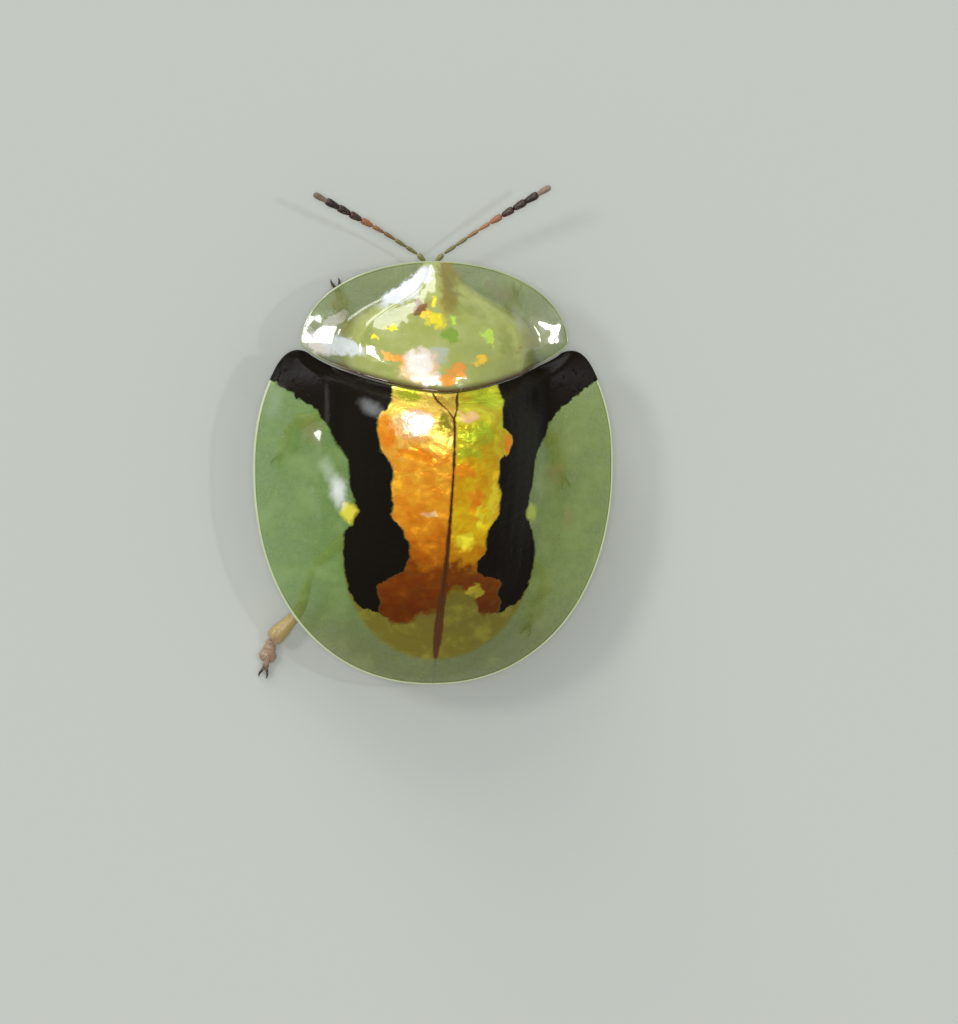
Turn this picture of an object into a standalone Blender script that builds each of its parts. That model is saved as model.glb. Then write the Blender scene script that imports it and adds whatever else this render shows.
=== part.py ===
# Tortoise beetle, life size, standing on its six feet: run with blender --background --python part.py
# Metres, +Z up from the floor, +Y towards the head, +X to the beetle's right.
import math

import bmesh
import bpy
from mathutils import Matrix, Vector

mm = 0.001

# Driving dimensions. Lengths along Y are measured forwards from the elytral apex.
BODY_LENGTH = 8.30 * mm  # front edge of the pronotum to the elytral apex
ANTENNA_REACH = 1.555 * mm  # how far the antennae reach ahead of the pronotum
GAP = 0.25 * mm  # between nodes that meet
FINE_GAP = 0.10 * mm  # the cut round the eyes and the scutellum, themselves under a millimetre
CUTICLE = 0.50 * mm  # thickness of the domed plates, across the plate
RIM_UNDER_Z = 0.85 * mm  # flat underside of the clear margins
RIM_TOP_Z = 1.14 * mm  # top of the margins at their outer edge

# Elytra, seen from above: a superellipse with its front cut by the pronotum
ELYTRA_HALF_WIDTH = 3.58 * mm
ELYTRA_WIDEST_Y = 4.30 * mm
ELYTRA_FRONT_REACH = 3.60 * mm
ELYTRA_POWER = 2.2
HUMERAL_TIP = Vector((2.92 * mm, 6.72 * mm))  # control point of the rounded front corner
HUMERAL_BASE_X = 2.50 * mm
HUMERAL_RIM_Y = 6.10 * mm

# The raised disc of the elytra, which the body fills
DISC_HALF_WIDTH = 1.93 * mm
DISC_SPREAD = 0.13 * mm  # wider than that at the shoulders
DISC_SPREAD_LENGTH = 1.60 * mm
DISC_REAR_CENTRE_Y = 2.60 * mm
DISC_REAR_REACH = 2.12 * mm
DISC_EDGE_Z = 1.38 * mm  # at both ends of the disc
DISC_EDGE_RISE = 0.22 * mm  # higher than that at the sides, where the margins slope up to it
DISC_EDGE_REAR = (0.70 * mm, 2.60 * mm)  # from the lower to the higher edge
DISC_EDGE_FRONT = (6.10 * mm, 4.90 * mm)
DISC_POWER = 2.0
HUMP_HEIGHT = 1.75 * mm  # above the edge of the disc, just behind the scutellum
REAR_HEIGHT = 0.62 * mm
HUMP_Y = 5.00 * mm
REAR_SLOPE_Y = 1.00 * mm  # where the crest has fallen to REAR_HEIGHT
BASE_DIP = 0.28  # share of the height lost at the front edge
BASE_DIP_LENGTH = 0.55 * mm
SCUTELLUM_HALF_WIDTH = 0.27 * mm
SCUTELLUM_LENGTH = 0.42 * mm
SCUTELLUM_TOP_Z = 2.52 * mm
SCUTELLUM_SLOPE = 0.35

# Pronotum, seen from above: two superellipses that meet at its widest line
PRONOTUM_HALF_WIDTH = 2.66 * mm
PRONOTUM_WIDEST_Y = 6.70 * mm
PRONOTUM_FRONT_POWER = 2.05
PRONOTUM_REAR_REACH = 0.92 * mm
PRONOTUM_REAR_POWER = 1.5
MARGIN_INNER_Z = 1.33 * mm  # of the pronotum's clear margin, where it meets the raised bell
BELL_HEIGHT = 1.20 * mm  # of the bell at its rear end, above the margin
BELL_HALF_WIDTH = 1.42 * mm
BELL_SHOULDER_Y = 7.46 * mm  # where the bell narrows to the keel that runs to the front edge
BELL_SHOULDER_SOFTNESS = 0.20 * mm
KEEL_HALF_WIDTH = 0.10 * mm
BELL_CROWN_DROP = 0.45  # share of the height lost from the midline to the edge of the bell's crown
FLANK_WIDTHS = (0.20 * mm, 0.55 * mm)  # of the bell's side, at the front edge and behind the shoulder

# Body under the shell
THORAX_REAR_Y = 3.35 * mm
THORAX_FRONT_Y = 6.62 * mm
THORAX_HALF_WIDTH = 1.25 * mm
THORAX_NARROWING = 0.16  # share of its width lost towards the head
BODY_MIDDLE_Z = 0.95 * mm
BELLY_Z = 0.85 * mm
ABDOMEN_REAR_Y = 1.35 * mm
ABDOMEN_HALF_WIDTH = 1.34 * mm
HEAD_CENTRE = Vector((0, 7.28 * mm, 0.62 * mm))
HEAD_HALF = Vector((0.72 * mm, 0.42 * mm, 0.32 * mm))
EYE_HALF = Vector((0.24 * mm, 0.27 * mm, 0.25 * mm))
EYE_OFFSET = Vector((0.62 * mm, 0.04 * mm, 0.03 * mm))  # from the centre of the head
FACE_OFFSET = Vector((0, 0.26 * mm, -0.14 * mm))
CLYPEUS_HALF = Vector((0.34 * mm, 0.26 * mm, 0.24 * mm))
LABRUM_OFFSET = Vector((0, 0.10 * mm, -0.16 * mm))  # from the centre of the clypeus
LABRUM_HALF = Vector((0.24 * mm, 0.16 * mm, 0.14 * mm))

# Legs: thickness of each segment
COXA_RADIUS = 0.25 * mm
FEMUR_RADIUS = 0.25 * mm
KNEE_RADIUS = 0.23 * mm
TIBIA_RADIUS = 0.25 * mm
TARSUS_HALF = Vector((0.25 * mm, 0.26 * mm, 0.24 * mm))
CLAW_LENGTH = 0.26 * mm
CLAW_RADIUS = 0.09 * mm
COXA_Z = 0.35 * mm
KNEE_Z = 0.36 * mm
SHIN_Z = 0.31 * mm
ANKLE_Z = 0.26 * mm
SOLE_Z = 0.17 * mm  # height of a tarsal pad's middle: the rest is cut flat at the floor

# Each leg: coxa, knee, middle of the shin, ankle and toe as (distance from the midline, distance ahead of the apex)
LEGS = {
    "foreleg_left": (-1, (0.52, 6.10), (1.42, 6.52), (1.54, 6.75), (1.62, 7.00), (1.78, 7.72)),
    "foreleg_right": (1, (0.52, 6.10), (1.45, 6.45), (1.58, 6.70), (1.68, 6.96), (1.80, 7.66)),
    "middle_leg_left": (-1, (0.62, 4.85), (1.95, 5.25), (2.30, 5.21), (2.60, 5.10), (2.92, 4.42)),
    "middle_leg_right": (1, (0.62, 4.85), (1.98, 5.05), (2.30, 4.91), (2.58, 4.72), (2.80, 3.98)),
    "hind_leg_left": (-1, (0.60, 3.80), (2.32, 2.20), (2.50, 1.42), (3.03, 0.84), (3.16, 0.27)),
    "hind_leg_right": (1, (0.60, 3.80), (1.98, 2.72), (2.24, 2.22), (2.42, 1.72), (2.12, 1.05)),
}

# Each antenna: its line as (distance from the midline, distance ahead of the apex, height), in millimetres
ANTENNAE = {
    "antenna_left": (-1, ((0.40, 7.93, 0.50), (0.42, 8.28, 0.46), (0.98, 8.86, 0.66), (2.36, 9.54, 0.98))),
    "antenna_right": (1, ((0.40, 7.93, 0.50), (0.42, 8.28, 0.46), (0.98, 8.93, 0.66), (2.26, 9.70, 0.98))),
}
ANTENNA_SEGMENTS = 11
ANTENNA_RADII = (0.24 * mm, 0.24 * mm, 0.25 * mm)  # at the root, the middle and the club

ELYTRON_STEPS = (20, 27)
DISC_SHARE = 14 / 20  # of the steps across an elytron that lie on its disc
PLAN_FINENESS = 32
PRONOTUM_STEPS = (30, 18)
BELL_SHARES = (0, 5 / 15, 9 / 15, 1)  # of half those steps: the bell's crown, its flank and the margin
PLAN_ROUNDS = 60
SCUTELLUM_STEPS = (6, 5)
BODY_STEPS = (28, 6)
WELD = 0.002 * mm
SLOPE_STEP = 0.02 * mm

COLOURS = {
    "clear_cuticle": ((0.62, 0.66, 0.34), 0.15, 0.0),
    "gold_cuticle": ((0.80, 0.45, 0.08), 0.20, 0.6),
    "pale_green": ((0.60, 0.66, 0.26), 0.35, 0.0),
    "amber": ((0.62, 0.38, 0.14), 0.40, 0.0),
    "brown": ((0.42, 0.20, 0.08), 0.45, 0.0),
    "black": ((0.02, 0.02, 0.02), 0.12, 0.0),
}


def clear_scene():
    for obj in list(bpy.data.objects):
        bpy.data.objects.remove(obj, do_unlink=True)


def superellipse_x(reach_share, half_width, power):
    """Half width where the distance from the widest line is this share of the full reach."""
    return half_width * max(0.0, 1 - abs(reach_share) ** power) ** (1 / power)


def level(x, y, half_width, reach, power):
    """0 at the centre of a superellipse and 1 on it."""
    return ((abs(x) / half_width) ** power + (abs(y) / reach) ** power) ** (1 / power)


def smooth(t):
    t = min(1.0, max(0.0, t))
    return t * t * (3 - 2 * t)


def pronotum_rear_y(x):
    """The pronotum's rear outline, grown by the gap: the elytra and the scutellum start on it."""
    share = abs(x) / (PRONOTUM_HALF_WIDTH + GAP)
    reach = PRONOTUM_REAR_REACH + GAP
    power = PRONOTUM_REAR_POWER
    return PRONOTUM_WIDEST_Y - reach * max(0.0, 1 - share**power) ** (1 / power)


def elytra_base_y(x):
    """Front edge of the elytra, with the notch that holds the scutellum."""
    notch_tip = pronotum_rear_y(0) - SCUTELLUM_LENGTH - FINE_GAP
    notch_slope = (SCUTELLUM_LENGTH + FINE_GAP) / (SCUTELLUM_HALF_WIDTH + FINE_GAP)
    return min(pronotum_rear_y(x), notch_tip + (abs(x) - GAP / 2) * notch_slope)


def elytra_rim_level(x, y):
    reach = ELYTRA_FRONT_REACH if y > ELYTRA_WIDEST_Y else ELYTRA_WIDEST_Y
    return level(x, y - ELYTRA_WIDEST_Y, ELYTRA_HALF_WIDTH, reach, ELYTRA_POWER)


def disc_half_width(y):
    """Half width of the disc ahead of its rear end."""
    return DISC_HALF_WIDTH + DISC_SPREAD * smooth((y - DISC_REAR_CENTRE_Y) / DISC_SPREAD_LENGTH)


def elytra_disc_level(x, y):
    """0 on the crest of the disc and 1 at its edge."""
    if y < DISC_REAR_CENTRE_Y:
        return level(x, y - DISC_REAR_CENTRE_Y, DISC_HALF_WIDTH, DISC_REAR_REACH, 2)
    return abs(x) / disc_half_width(y)


def disc_edge_height(y):
    """Height of the disc's edge, where the margin starts."""
    rises = [smooth((y - low) / (high - low)) for low, high in (DISC_EDGE_REAR, DISC_EDGE_FRONT)]
    return DISC_EDGE_Z + DISC_EDGE_RISE * rises[0] * rises[1]


def margin_height(edge_z, past_disc, inside_rim):
    """Height of a clear margin, from the disc's edge (past_disc 0) to the rim (inside_rim 0)."""
    share = past_disc / (past_disc + max(inside_rim, 0.0) * 2 + 1e-9)
    return edge_z + (RIM_TOP_Z - edge_z) * share


def elytra_top(x, y):
    disc = elytra_disc_level(x, y)
    edge_z = disc_edge_height(y)
    if disc >= 1:
        return margin_height(edge_z, disc - 1, 1 - elytra_rim_level(x, y))
    back = smooth((HUMP_Y - y) / (HUMP_Y - REAR_SLOPE_Y))
    height = HUMP_HEIGHT + (REAR_HEIGHT - HUMP_HEIGHT) * back
    behind_base = smooth((pronotum_rear_y(x) - y) / BASE_DIP_LENGTH)
    height *= 1 - BASE_DIP * (1 - behind_base)
    return edge_z + height * (1 - disc**DISC_POWER)


def pronotum_level(x, y):
    ahead = y - PRONOTUM_WIDEST_Y
    if ahead > 0:
        return level(x, ahead, PRONOTUM_HALF_WIDTH, BODY_LENGTH - PRONOTUM_WIDEST_Y, PRONOTUM_FRONT_POWER)
    return level(x, ahead, PRONOTUM_HALF_WIDTH, PRONOTUM_REAR_REACH, PRONOTUM_REAR_POWER)


def bell_half_width(y):
    """Half width of the bell's crown, flaring from the keel at the shoulder."""
    return KEEL_HALF_WIDTH + BELL_HALF_WIDTH / (1 + math.exp((y - BELL_SHOULDER_Y) / BELL_SHOULDER_SOFTNESS))


def flank_width(y):
    front, back = FLANK_WIDTHS
    return front + (back - front) * smooth((BODY_LENGTH - y) / (BODY_LENGTH - BELL_SHOULDER_Y))


def pronotum_top(x, y):
    rear = PRONOTUM_WIDEST_Y - PRONOTUM_REAR_REACH
    height = BELL_HEIGHT * min(1.0, max(0.0, (BODY_LENGTH - y) / (BODY_LENGTH - rear)))
    crown = bell_half_width(y)
    rounding = 1 - BELL_CROWN_DROP * min(1.0, abs(x) / crown) ** 2
    rise = height * rounding * (1 - smooth((abs(x) - crown) / flank_width(y)))
    fall = (MARGIN_INNER_Z - RIM_TOP_Z) * min(1.0, pronotum_level(x, y)) ** 3
    return MARGIN_INNER_Z - fall + rise


def underside(top):
    """The inner face of a plate: CUTICLE below its top, measured across the plate, and no lower than the rim's."""

    def under(x, y):
        slope_x = (top(x + SLOPE_STEP, y) - top(x - SLOPE_STEP, y)) / (2 * SLOPE_STEP)
        slope_y = (top(x, y + SLOPE_STEP) - top(x, y - SLOPE_STEP)) / (2 * SLOPE_STEP)
        stretch = math.sqrt(1 + slope_x**2 + slope_y**2)
        return max(RIM_UNDER_Z, top(x, y) - CUTICLE * stretch)

    return under


elytra_under = underside(elytra_top)
pronotum_under = underside(pronotum_top)


def along(points, share):
    """The point that lies this share of the way along a line of points."""
    lengths = [(b - a).length for a, b in zip(points, points[1:])]
    left = share * sum(lengths)
    for start, end, length in zip(points, points[1:], lengths):
        if left <= length:
            return start.lerp(end, left / length)
        left -= length
    return points[-1].copy()


def elytra_rim_point(y):
    reach = ELYTRA_FRONT_REACH if y > ELYTRA_WIDEST_Y else ELYTRA_WIDEST_Y
    x = superellipse_x((y - ELYTRA_WIDEST_Y) / reach, ELYTRA_HALF_WIDTH, ELYTRA_POWER)
    return Vector((max(x, GAP / 2), y))


def disc_edge_point(share):
    """The disc's edge from the base (0) round its rear end to the suture (1)."""
    ahead = pronotum_rear_y(DISC_HALF_WIDTH + DISC_SPREAD) - DISC_REAR_CENTRE_Y
    straight = ahead / (ahead + DISC_REAR_REACH * 1.25)
    if share < straight:
        y = DISC_REAR_CENTRE_Y + ahead * (1 - share / straight)
        return Vector((disc_half_width(y), y))
    turn = math.pi / 2 * (share - straight) / (1 - straight)
    x, y = DISC_HALF_WIDTH * math.cos(turn), DISC_REAR_CENTRE_Y - DISC_REAR_REACH * math.sin(turn)
    return Vector((max(x, GAP / 2), y))


def elytron_outline():
    """The base of a right elytron in plan, and its rim from the humeral corner round to the apex."""
    base_end = Vector((HUMERAL_BASE_X, pronotum_rear_y(HUMERAL_BASE_X)))
    rim_start = elytra_rim_point(HUMERAL_RIM_Y)

    def corner(t):
        return base_end * (1 - t) ** 2 + HUMERAL_TIP * 2 * t * (1 - t) + rim_start * t**2

    shares = [k / PLAN_FINENESS for k in range(PLAN_FINENESS + 1)]
    disc_end = DISC_HALF_WIDTH + DISC_SPREAD
    inner_xs = [GAP / 2 + (disc_end - GAP / 2) * t for t in shares]
    outer_xs = [disc_end + (HUMERAL_BASE_X - disc_end) * t for t in shares]
    inner_base = [Vector((x, elytra_base_y(x))) for x in inner_xs]
    outer_base = [Vector((x, pronotum_rear_y(x))) for x in outer_xs] + [corner(t / 2) for t in shares[1:]]
    turns = [math.pi / 2 * t for t in shares]
    rim = [corner(0.5 + t / 2) for t in shares]
    rim += [elytra_rim_point(ELYTRA_WIDEST_Y + (HUMERAL_RIM_Y - ELYTRA_WIDEST_Y) * (1 - t)) for t in shares[1:]]
    rim += [elytra_rim_point(ELYTRA_WIDEST_Y * (1 - math.sin(turn))) for turn in turns[1:]]
    return inner_base, outer_base, rim


def elytron_plan(side):
    """Rows from the suture over the disc (u below DISC_SHARE) and the margin to the rim, v from base to apex."""
    inner_base, outer_base, rim = elytron_outline()
    suture_rear = disc_edge_point(1)

    def row(u, v):
        edge = disc_edge_point(v)
        if u <= DISC_SHARE:
            return inner_base[0].lerp(suture_rear, v).lerp(edge, u / DISC_SHARE)
        return edge.lerp(along(rim, v), (u - DISC_SHARE) / (1 - DISC_SHARE))

    def place(u, v):
        if u <= DISC_SHARE:
            base = along(inner_base, u / DISC_SHARE)
        else:
            base = along(outer_base, (u - DISC_SHARE) / (1 - DISC_SHARE))
        point = row(u, v) + (base - row(u, 0)) * (1 - v) ** 2
        return Vector((side * point.x, point.y))

    return place


def pronotum_outline_y(x, front):
    """The front or the rear outline of the pronotum at this distance from the midline."""
    if front:
        reach, power = BODY_LENGTH - PRONOTUM_WIDEST_Y, PRONOTUM_FRONT_POWER
    else:
        reach, power = -PRONOTUM_REAR_REACH, PRONOTUM_REAR_POWER
    share = min(1.0, abs(x) / PRONOTUM_HALF_WIDTH)
    return PRONOTUM_WIDEST_Y + reach * (1 - share**power) ** (1 / power)


def pronotum_plan(u, v):
    """Columns that follow the bell's crown and flanks, u across from left to right, v from front to rear."""
    across = abs(2 * u - 1)
    y = PRONOTUM_WIDEST_Y
    for _ in range(PLAN_ROUNDS):
        crown = bell_half_width(y)
        stops = (0, crown, crown + flank_width(y), PRONOTUM_HALF_WIDTH)
        k = max(i for i in range(3) if across >= BELL_SHARES[i])
        share = (across - BELL_SHARES[k]) / (BELL_SHARES[k + 1] - BELL_SHARES[k])
        if k == 2:
            share = math.sin(share * math.pi / 2)  # closer columns at the rounded sides
        x = stops[k] + (stops[k + 1] - stops[k]) * share
        front, rear = pronotum_outline_y(x, True), pronotum_outline_y(x, False)
        y = (y + front + (rear - front) * v) / 2
    return Vector((math.copysign(x, 2 * u - 1), y))


def round_plan(centre_y, half_width, front_reach, rear_reach, front_power, rear_power):
    """Rings round a centre out to a superellipse, u round it and v outwards."""

    def place(u, v):
        turn = 2 * math.pi * u
        front = math.sin(turn) >= 0
        reach = front_reach if front else rear_reach
        power = front_power if front else rear_power
        x = math.copysign(abs(math.cos(turn)) ** (2 / power), math.cos(turn)) * half_width
        y = math.copysign(abs(math.sin(turn)) ** (2 / power), math.sin(turn)) * reach
        return Vector((x * v, centre_y + y * v))

    return place


def plate(name, place, steps, top, under, colour, parent):
    """A closed solid between two surfaces over one plan."""
    bm = bmesh.new()
    bmesh.ops.create_grid(bm, x_segments=steps[0], y_segments=steps[1], size=0.5)
    for vert in bm.verts:
        vert.co = place(vert.co.x + 0.5, vert.co.y + 0.5).to_3d()
    bmesh.ops.remove_doubles(bm, verts=bm.verts, dist=WELD)
    made = bmesh.ops.extrude_face_region(bm, geom=bm.faces[:])["geom"]
    lower = {v for v in made if isinstance(v, bmesh.types.BMVert)}
    for vert in bm.verts:
        surface = under if vert in lower else top
        vert.co.z = surface(vert.co.x, vert.co.y)
    bmesh.ops.recalc_face_normals(bm, faces=bm.faces)
    mesh = bpy.data.meshes.new(name)
    bm.to_mesh(mesh)
    bm.free()
    return add_object(name, mesh, colour, parent)


def add_object(name, mesh, colour, parent):
    obj = bpy.data.objects.new(name, mesh)
    parts.objects.link(obj)
    obj.parent = parent
    mesh.materials.clear()
    mesh.materials.append(materials[colour])
    mesh.shade_smooth()
    mesh.set_sharp_from_angle(angle=math.radians(40))
    return obj


def make_material(name, rgb, roughness, metallic):
    material = bpy.data.materials.new(name)
    material.use_nodes = True
    shader = material.node_tree.nodes["Principled BSDF"]
    shader.inputs["Base Color"].default_value = (*rgb, 1)
    shader.inputs["Roughness"].default_value = roughness
    shader.inputs["Metallic"].default_value = metallic
    return material


def ellipsoid(name, centre, half, segments=12, rings=8, turn=0.0):
    bm = bmesh.new()
    bmesh.ops.create_uvsphere(bm, u_segments=segments, v_segments=rings, radius=1)
    size = Matrix.Diagonal((*half, 1))
    bm.transform(Matrix.Translation(centre) @ Matrix.Rotation(turn, 4, "Z") @ size)
    mesh = bpy.data.meshes.new(name)
    bm.to_mesh(mesh)
    bm.free()
    obj = bpy.data.objects.new(name, mesh)
    scraps.objects.link(obj)
    return obj


def cone(name, start, end, start_radius, end_radius, segments=10):
    bm = bmesh.new()
    axis = end - start
    bmesh.ops.create_cone(
        bm, cap_ends=True, segments=segments, radius1=start_radius, radius2=end_radius, depth=axis.length
    )
    turn = axis.to_track_quat("Z", "Y").to_matrix().to_4x4()
    bm.transform(Matrix.Translation((start + end) / 2) @ turn)
    mesh = bpy.data.meshes.new(name)
    bm.to_mesh(mesh)
    bm.free()
    obj = bpy.data.objects.new(name, mesh)
    scraps.objects.link(obj)
    return obj


def limb(name, points, radii):
    """A tapering round limb along a line of points, as a closed mesh."""
    curve = bpy.data.curves.new(name, "CURVE")
    curve.dimensions = "3D"
    curve.bevel_depth = max(radii)
    curve.bevel_resolution = 2
    curve.use_fill_caps = True
    spline = curve.splines.new("POLY")
    spline.points.add(len(points) - 1)
    for point, place, radius in zip(spline.points, points, radii):
        point.co = (*place, 1)
        point.radius = radius / max(radii)
    source = bpy.data.objects.new(name + "_line", curve)
    scraps.objects.link(source)
    bpy.context.view_layer.update()
    evaluated = source.evaluated_get(bpy.context.evaluated_depsgraph_get())
    mesh = bpy.data.meshes.new_from_object(evaluated)
    bpy.data.objects.remove(source)
    bm = bmesh.new()
    bm.from_mesh(mesh)
    bmesh.ops.remove_doubles(bm, verts=bm.verts, dist=WELD)
    bmesh.ops.recalc_face_normals(bm, faces=bm.faces)
    bm.to_mesh(mesh)
    bm.free()
    obj = bpy.data.objects.new(name, mesh)
    scraps.objects.link(obj)
    return obj


def evaluated_mesh(obj, name):
    bpy.context.view_layer.update()
    evaluated = obj.evaluated_get(bpy.context.evaluated_depsgraph_get())
    mesh = bpy.data.meshes.new_from_object(evaluated)
    mesh.name = name
    return mesh


def keep_largest(mesh):
    """Drops all but the largest of a mesh's closed surfaces."""
    bm = bmesh.new()
    bm.from_mesh(mesh)
    left = set(bm.verts)
    shells = []
    while left:
        shell, front = set(), [left.pop()]
        while front:
            vert = front.pop()
            shell.add(vert)
            near = {edge.other_vert(vert) for edge in vert.link_edges} & left
            left -= near
            front.extend(near)
        shells.append(shell)

    def size(shell):
        points = [vert.co for vert in shell]
        spans = [max(p[i] for p in points) - min(p[i] for p in points) for i in range(3)]
        return spans[0] * spans[1] * spans[2]

    largest = max(shells, key=size)
    bmesh.ops.delete(bm, geom=[v for v in bm.verts if v not in largest], context="VERTS")
    bm.to_mesh(mesh)
    bm.free()


def fuse(name, pieces, colour, parent, cutters=()):
    """Joins closed pieces into one node, then takes the cutters from it."""
    body, *others = pieces
    joined = bpy.data.collections.new(name + "_pieces")
    bpy.context.scene.collection.children.link(joined)
    for piece in others:
        scraps.objects.unlink(piece)
        joined.objects.link(piece)
    if others:
        union = body.modifiers.new("union", "BOOLEAN")
        union.operation = "UNION"
        union.solver = "MANIFOLD"
        union.operand_type = "COLLECTION"
        union.collection = joined
    for cutter in cutters:
        cut = body.modifiers.new("cut", "BOOLEAN")
        cut.operation = "DIFFERENCE"
        cut.solver = "MANIFOLD"
        cut.object = cutter
    mesh = evaluated_mesh(body, name)
    for piece in pieces:
        bpy.data.objects.remove(piece)
    bpy.data.collections.remove(joined)
    keep_largest(mesh)
    return add_object(name, mesh, colour, parent)


def ground_cutter():
    """Everything under the floor, so that each foot stands on flats at one level."""
    bm = bmesh.new()
    bmesh.ops.create_cube(bm, size=1)
    depth = 2 * mm
    bm.transform(Matrix.Translation((0, BODY_LENGTH / 2, -depth / 2)) @ Matrix.Diagonal((0.02, 0.02, depth, 1)))
    mesh = bpy.data.meshes.new("ground_cutter")
    bm.to_mesh(mesh)
    bm.free()
    obj = bpy.data.objects.new("ground_cutter", mesh)
    cutters.objects.link(obj)
    obj.hide_render = True
    obj.display_type = "WIRE"
    return obj


def make_pronotum(parent):
    plate("pronotum", pronotum_plan, PRONOTUM_STEPS, pronotum_top, pronotum_under, "clear_cuticle", parent)


def make_elytra(parent):
    for name, side in (("elytron_left", -1), ("elytron_right", 1)):
        plate(name, elytron_plan(side), ELYTRON_STEPS, elytra_top, elytra_under, "gold_cuticle", parent)


def make_scutellum(parent):
    """The small triangle between the bases of the elytra."""

    def place(u, v):
        x = (2 * u - 1) * SCUTELLUM_HALF_WIDTH * (1 - v)
        return Vector((x, pronotum_rear_y(x) - SCUTELLUM_LENGTH * v))

    def top(x, y):
        return SCUTELLUM_TOP_Z + SCUTELLUM_SLOPE * (pronotum_rear_y(0) - y)

    def bottom(x, y):
        return top(x, y) - CUTICLE

    plate("scutellum", place, SCUTELLUM_STEPS, top, bottom, "gold_cuticle", parent)


def pillow(name, rear_y, front_y, half_width, narrowing, power, parent):
    """A rounded body part that fills the shell to within the gap."""
    centre_y, half_length = (front_y + rear_y) / 2, (front_y - rear_y) / 2
    rings = round_plan(centre_y, half_width, half_length, half_length, power, power)

    def taper(y):
        return 1 - narrowing * (y - rear_y) / (front_y - rear_y)

    def place(u, v):
        point = rings(u, v)
        return Vector((point.x * taper(point.y), point.y))

    def outward(x, y):
        return min(1.0, level(x / taper(y), y - centre_y, half_width, half_length, power))

    def top(x, y):
        shell = elytra_under(x, min(y, pronotum_rear_y(x)))
        if y > PRONOTUM_WIDEST_Y - PRONOTUM_REAR_REACH - GAP * 2:
            shell = min(shell, pronotum_under(x, y))
        return BODY_MIDDLE_Z + max(0.0, shell - GAP - BODY_MIDDLE_Z) * math.sqrt(1 - outward(x, y) ** 4)

    def bottom(x, y):
        return BODY_MIDDLE_Z - (BODY_MIDDLE_Z - BELLY_Z) * math.sqrt(1 - outward(x, y) ** 3) - WELD * 5

    plate(name, place, BODY_STEPS, top, bottom, "pale_green", parent)


def make_body(parent):
    pillow("thorax", THORAX_REAR_Y, THORAX_FRONT_Y, THORAX_HALF_WIDTH, THORAX_NARROWING, 2.6, parent)
    pillow("abdomen", ABDOMEN_REAR_Y, THORAX_REAR_Y - GAP, ABDOMEN_HALF_WIDTH, 0.0, 2.4, parent)


def make_head(parent):
    face = HEAD_CENTRE + FACE_OFFSET
    pieces = [
        ellipsoid("skull", HEAD_CENTRE, HEAD_HALF, 20, 12),
        ellipsoid("clypeus", face, CLYPEUS_HALF, 12, 8),
        ellipsoid("labrum", face + LABRUM_OFFSET, LABRUM_HALF, 10, 6),
    ]
    sockets = []
    for name, side in (("eye_left", -1), ("eye_right", 1)):
        centre = HEAD_CENTRE + Vector((side * EYE_OFFSET.x, EYE_OFFSET.y, EYE_OFFSET.z))
        grown = EYE_HALF + Vector((FINE_GAP,) * 3)
        sockets.append(ellipsoid(name + "_socket", centre, grown, 16, 10))
        fuse(name, [ellipsoid(name + "_ball", centre, EYE_HALF, 16, 10)], "black", parent)
    fuse("head", pieces, "amber", parent, sockets)
    for socket in sockets:
        bpy.data.objects.remove(socket)


def antenna_point(line, share):
    return along([Vector(place) * mm for place in line], share)


def make_antennae(parent):
    for name, (side, line) in ANTENNAE.items():
        mirrored = [(side * x, y, z) for x, y, z in line]
        points, radii = [], []
        root, middle, club = ANTENNA_RADII
        for k in range(ANTENNA_SEGMENTS):
            for part, swell in ((0.04, 0.84), (0.5, 0.96), (0.9, 1.0)):
                share = (k + part) / ANTENNA_SEGMENTS
                base = root + (middle - root) * smooth(share * 2) + (club - middle) * smooth(share * 2.2 - 1)
                points.append(antenna_point(mirrored, share))
                radii.append(base * swell)
        points.append(antenna_point(mirrored, 1.0))
        radii[-1] *= 0.8
        radii.append(club * 0.35)
        fuse(name, [limb(name + "_tube", points, radii)], "brown", parent)


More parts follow.
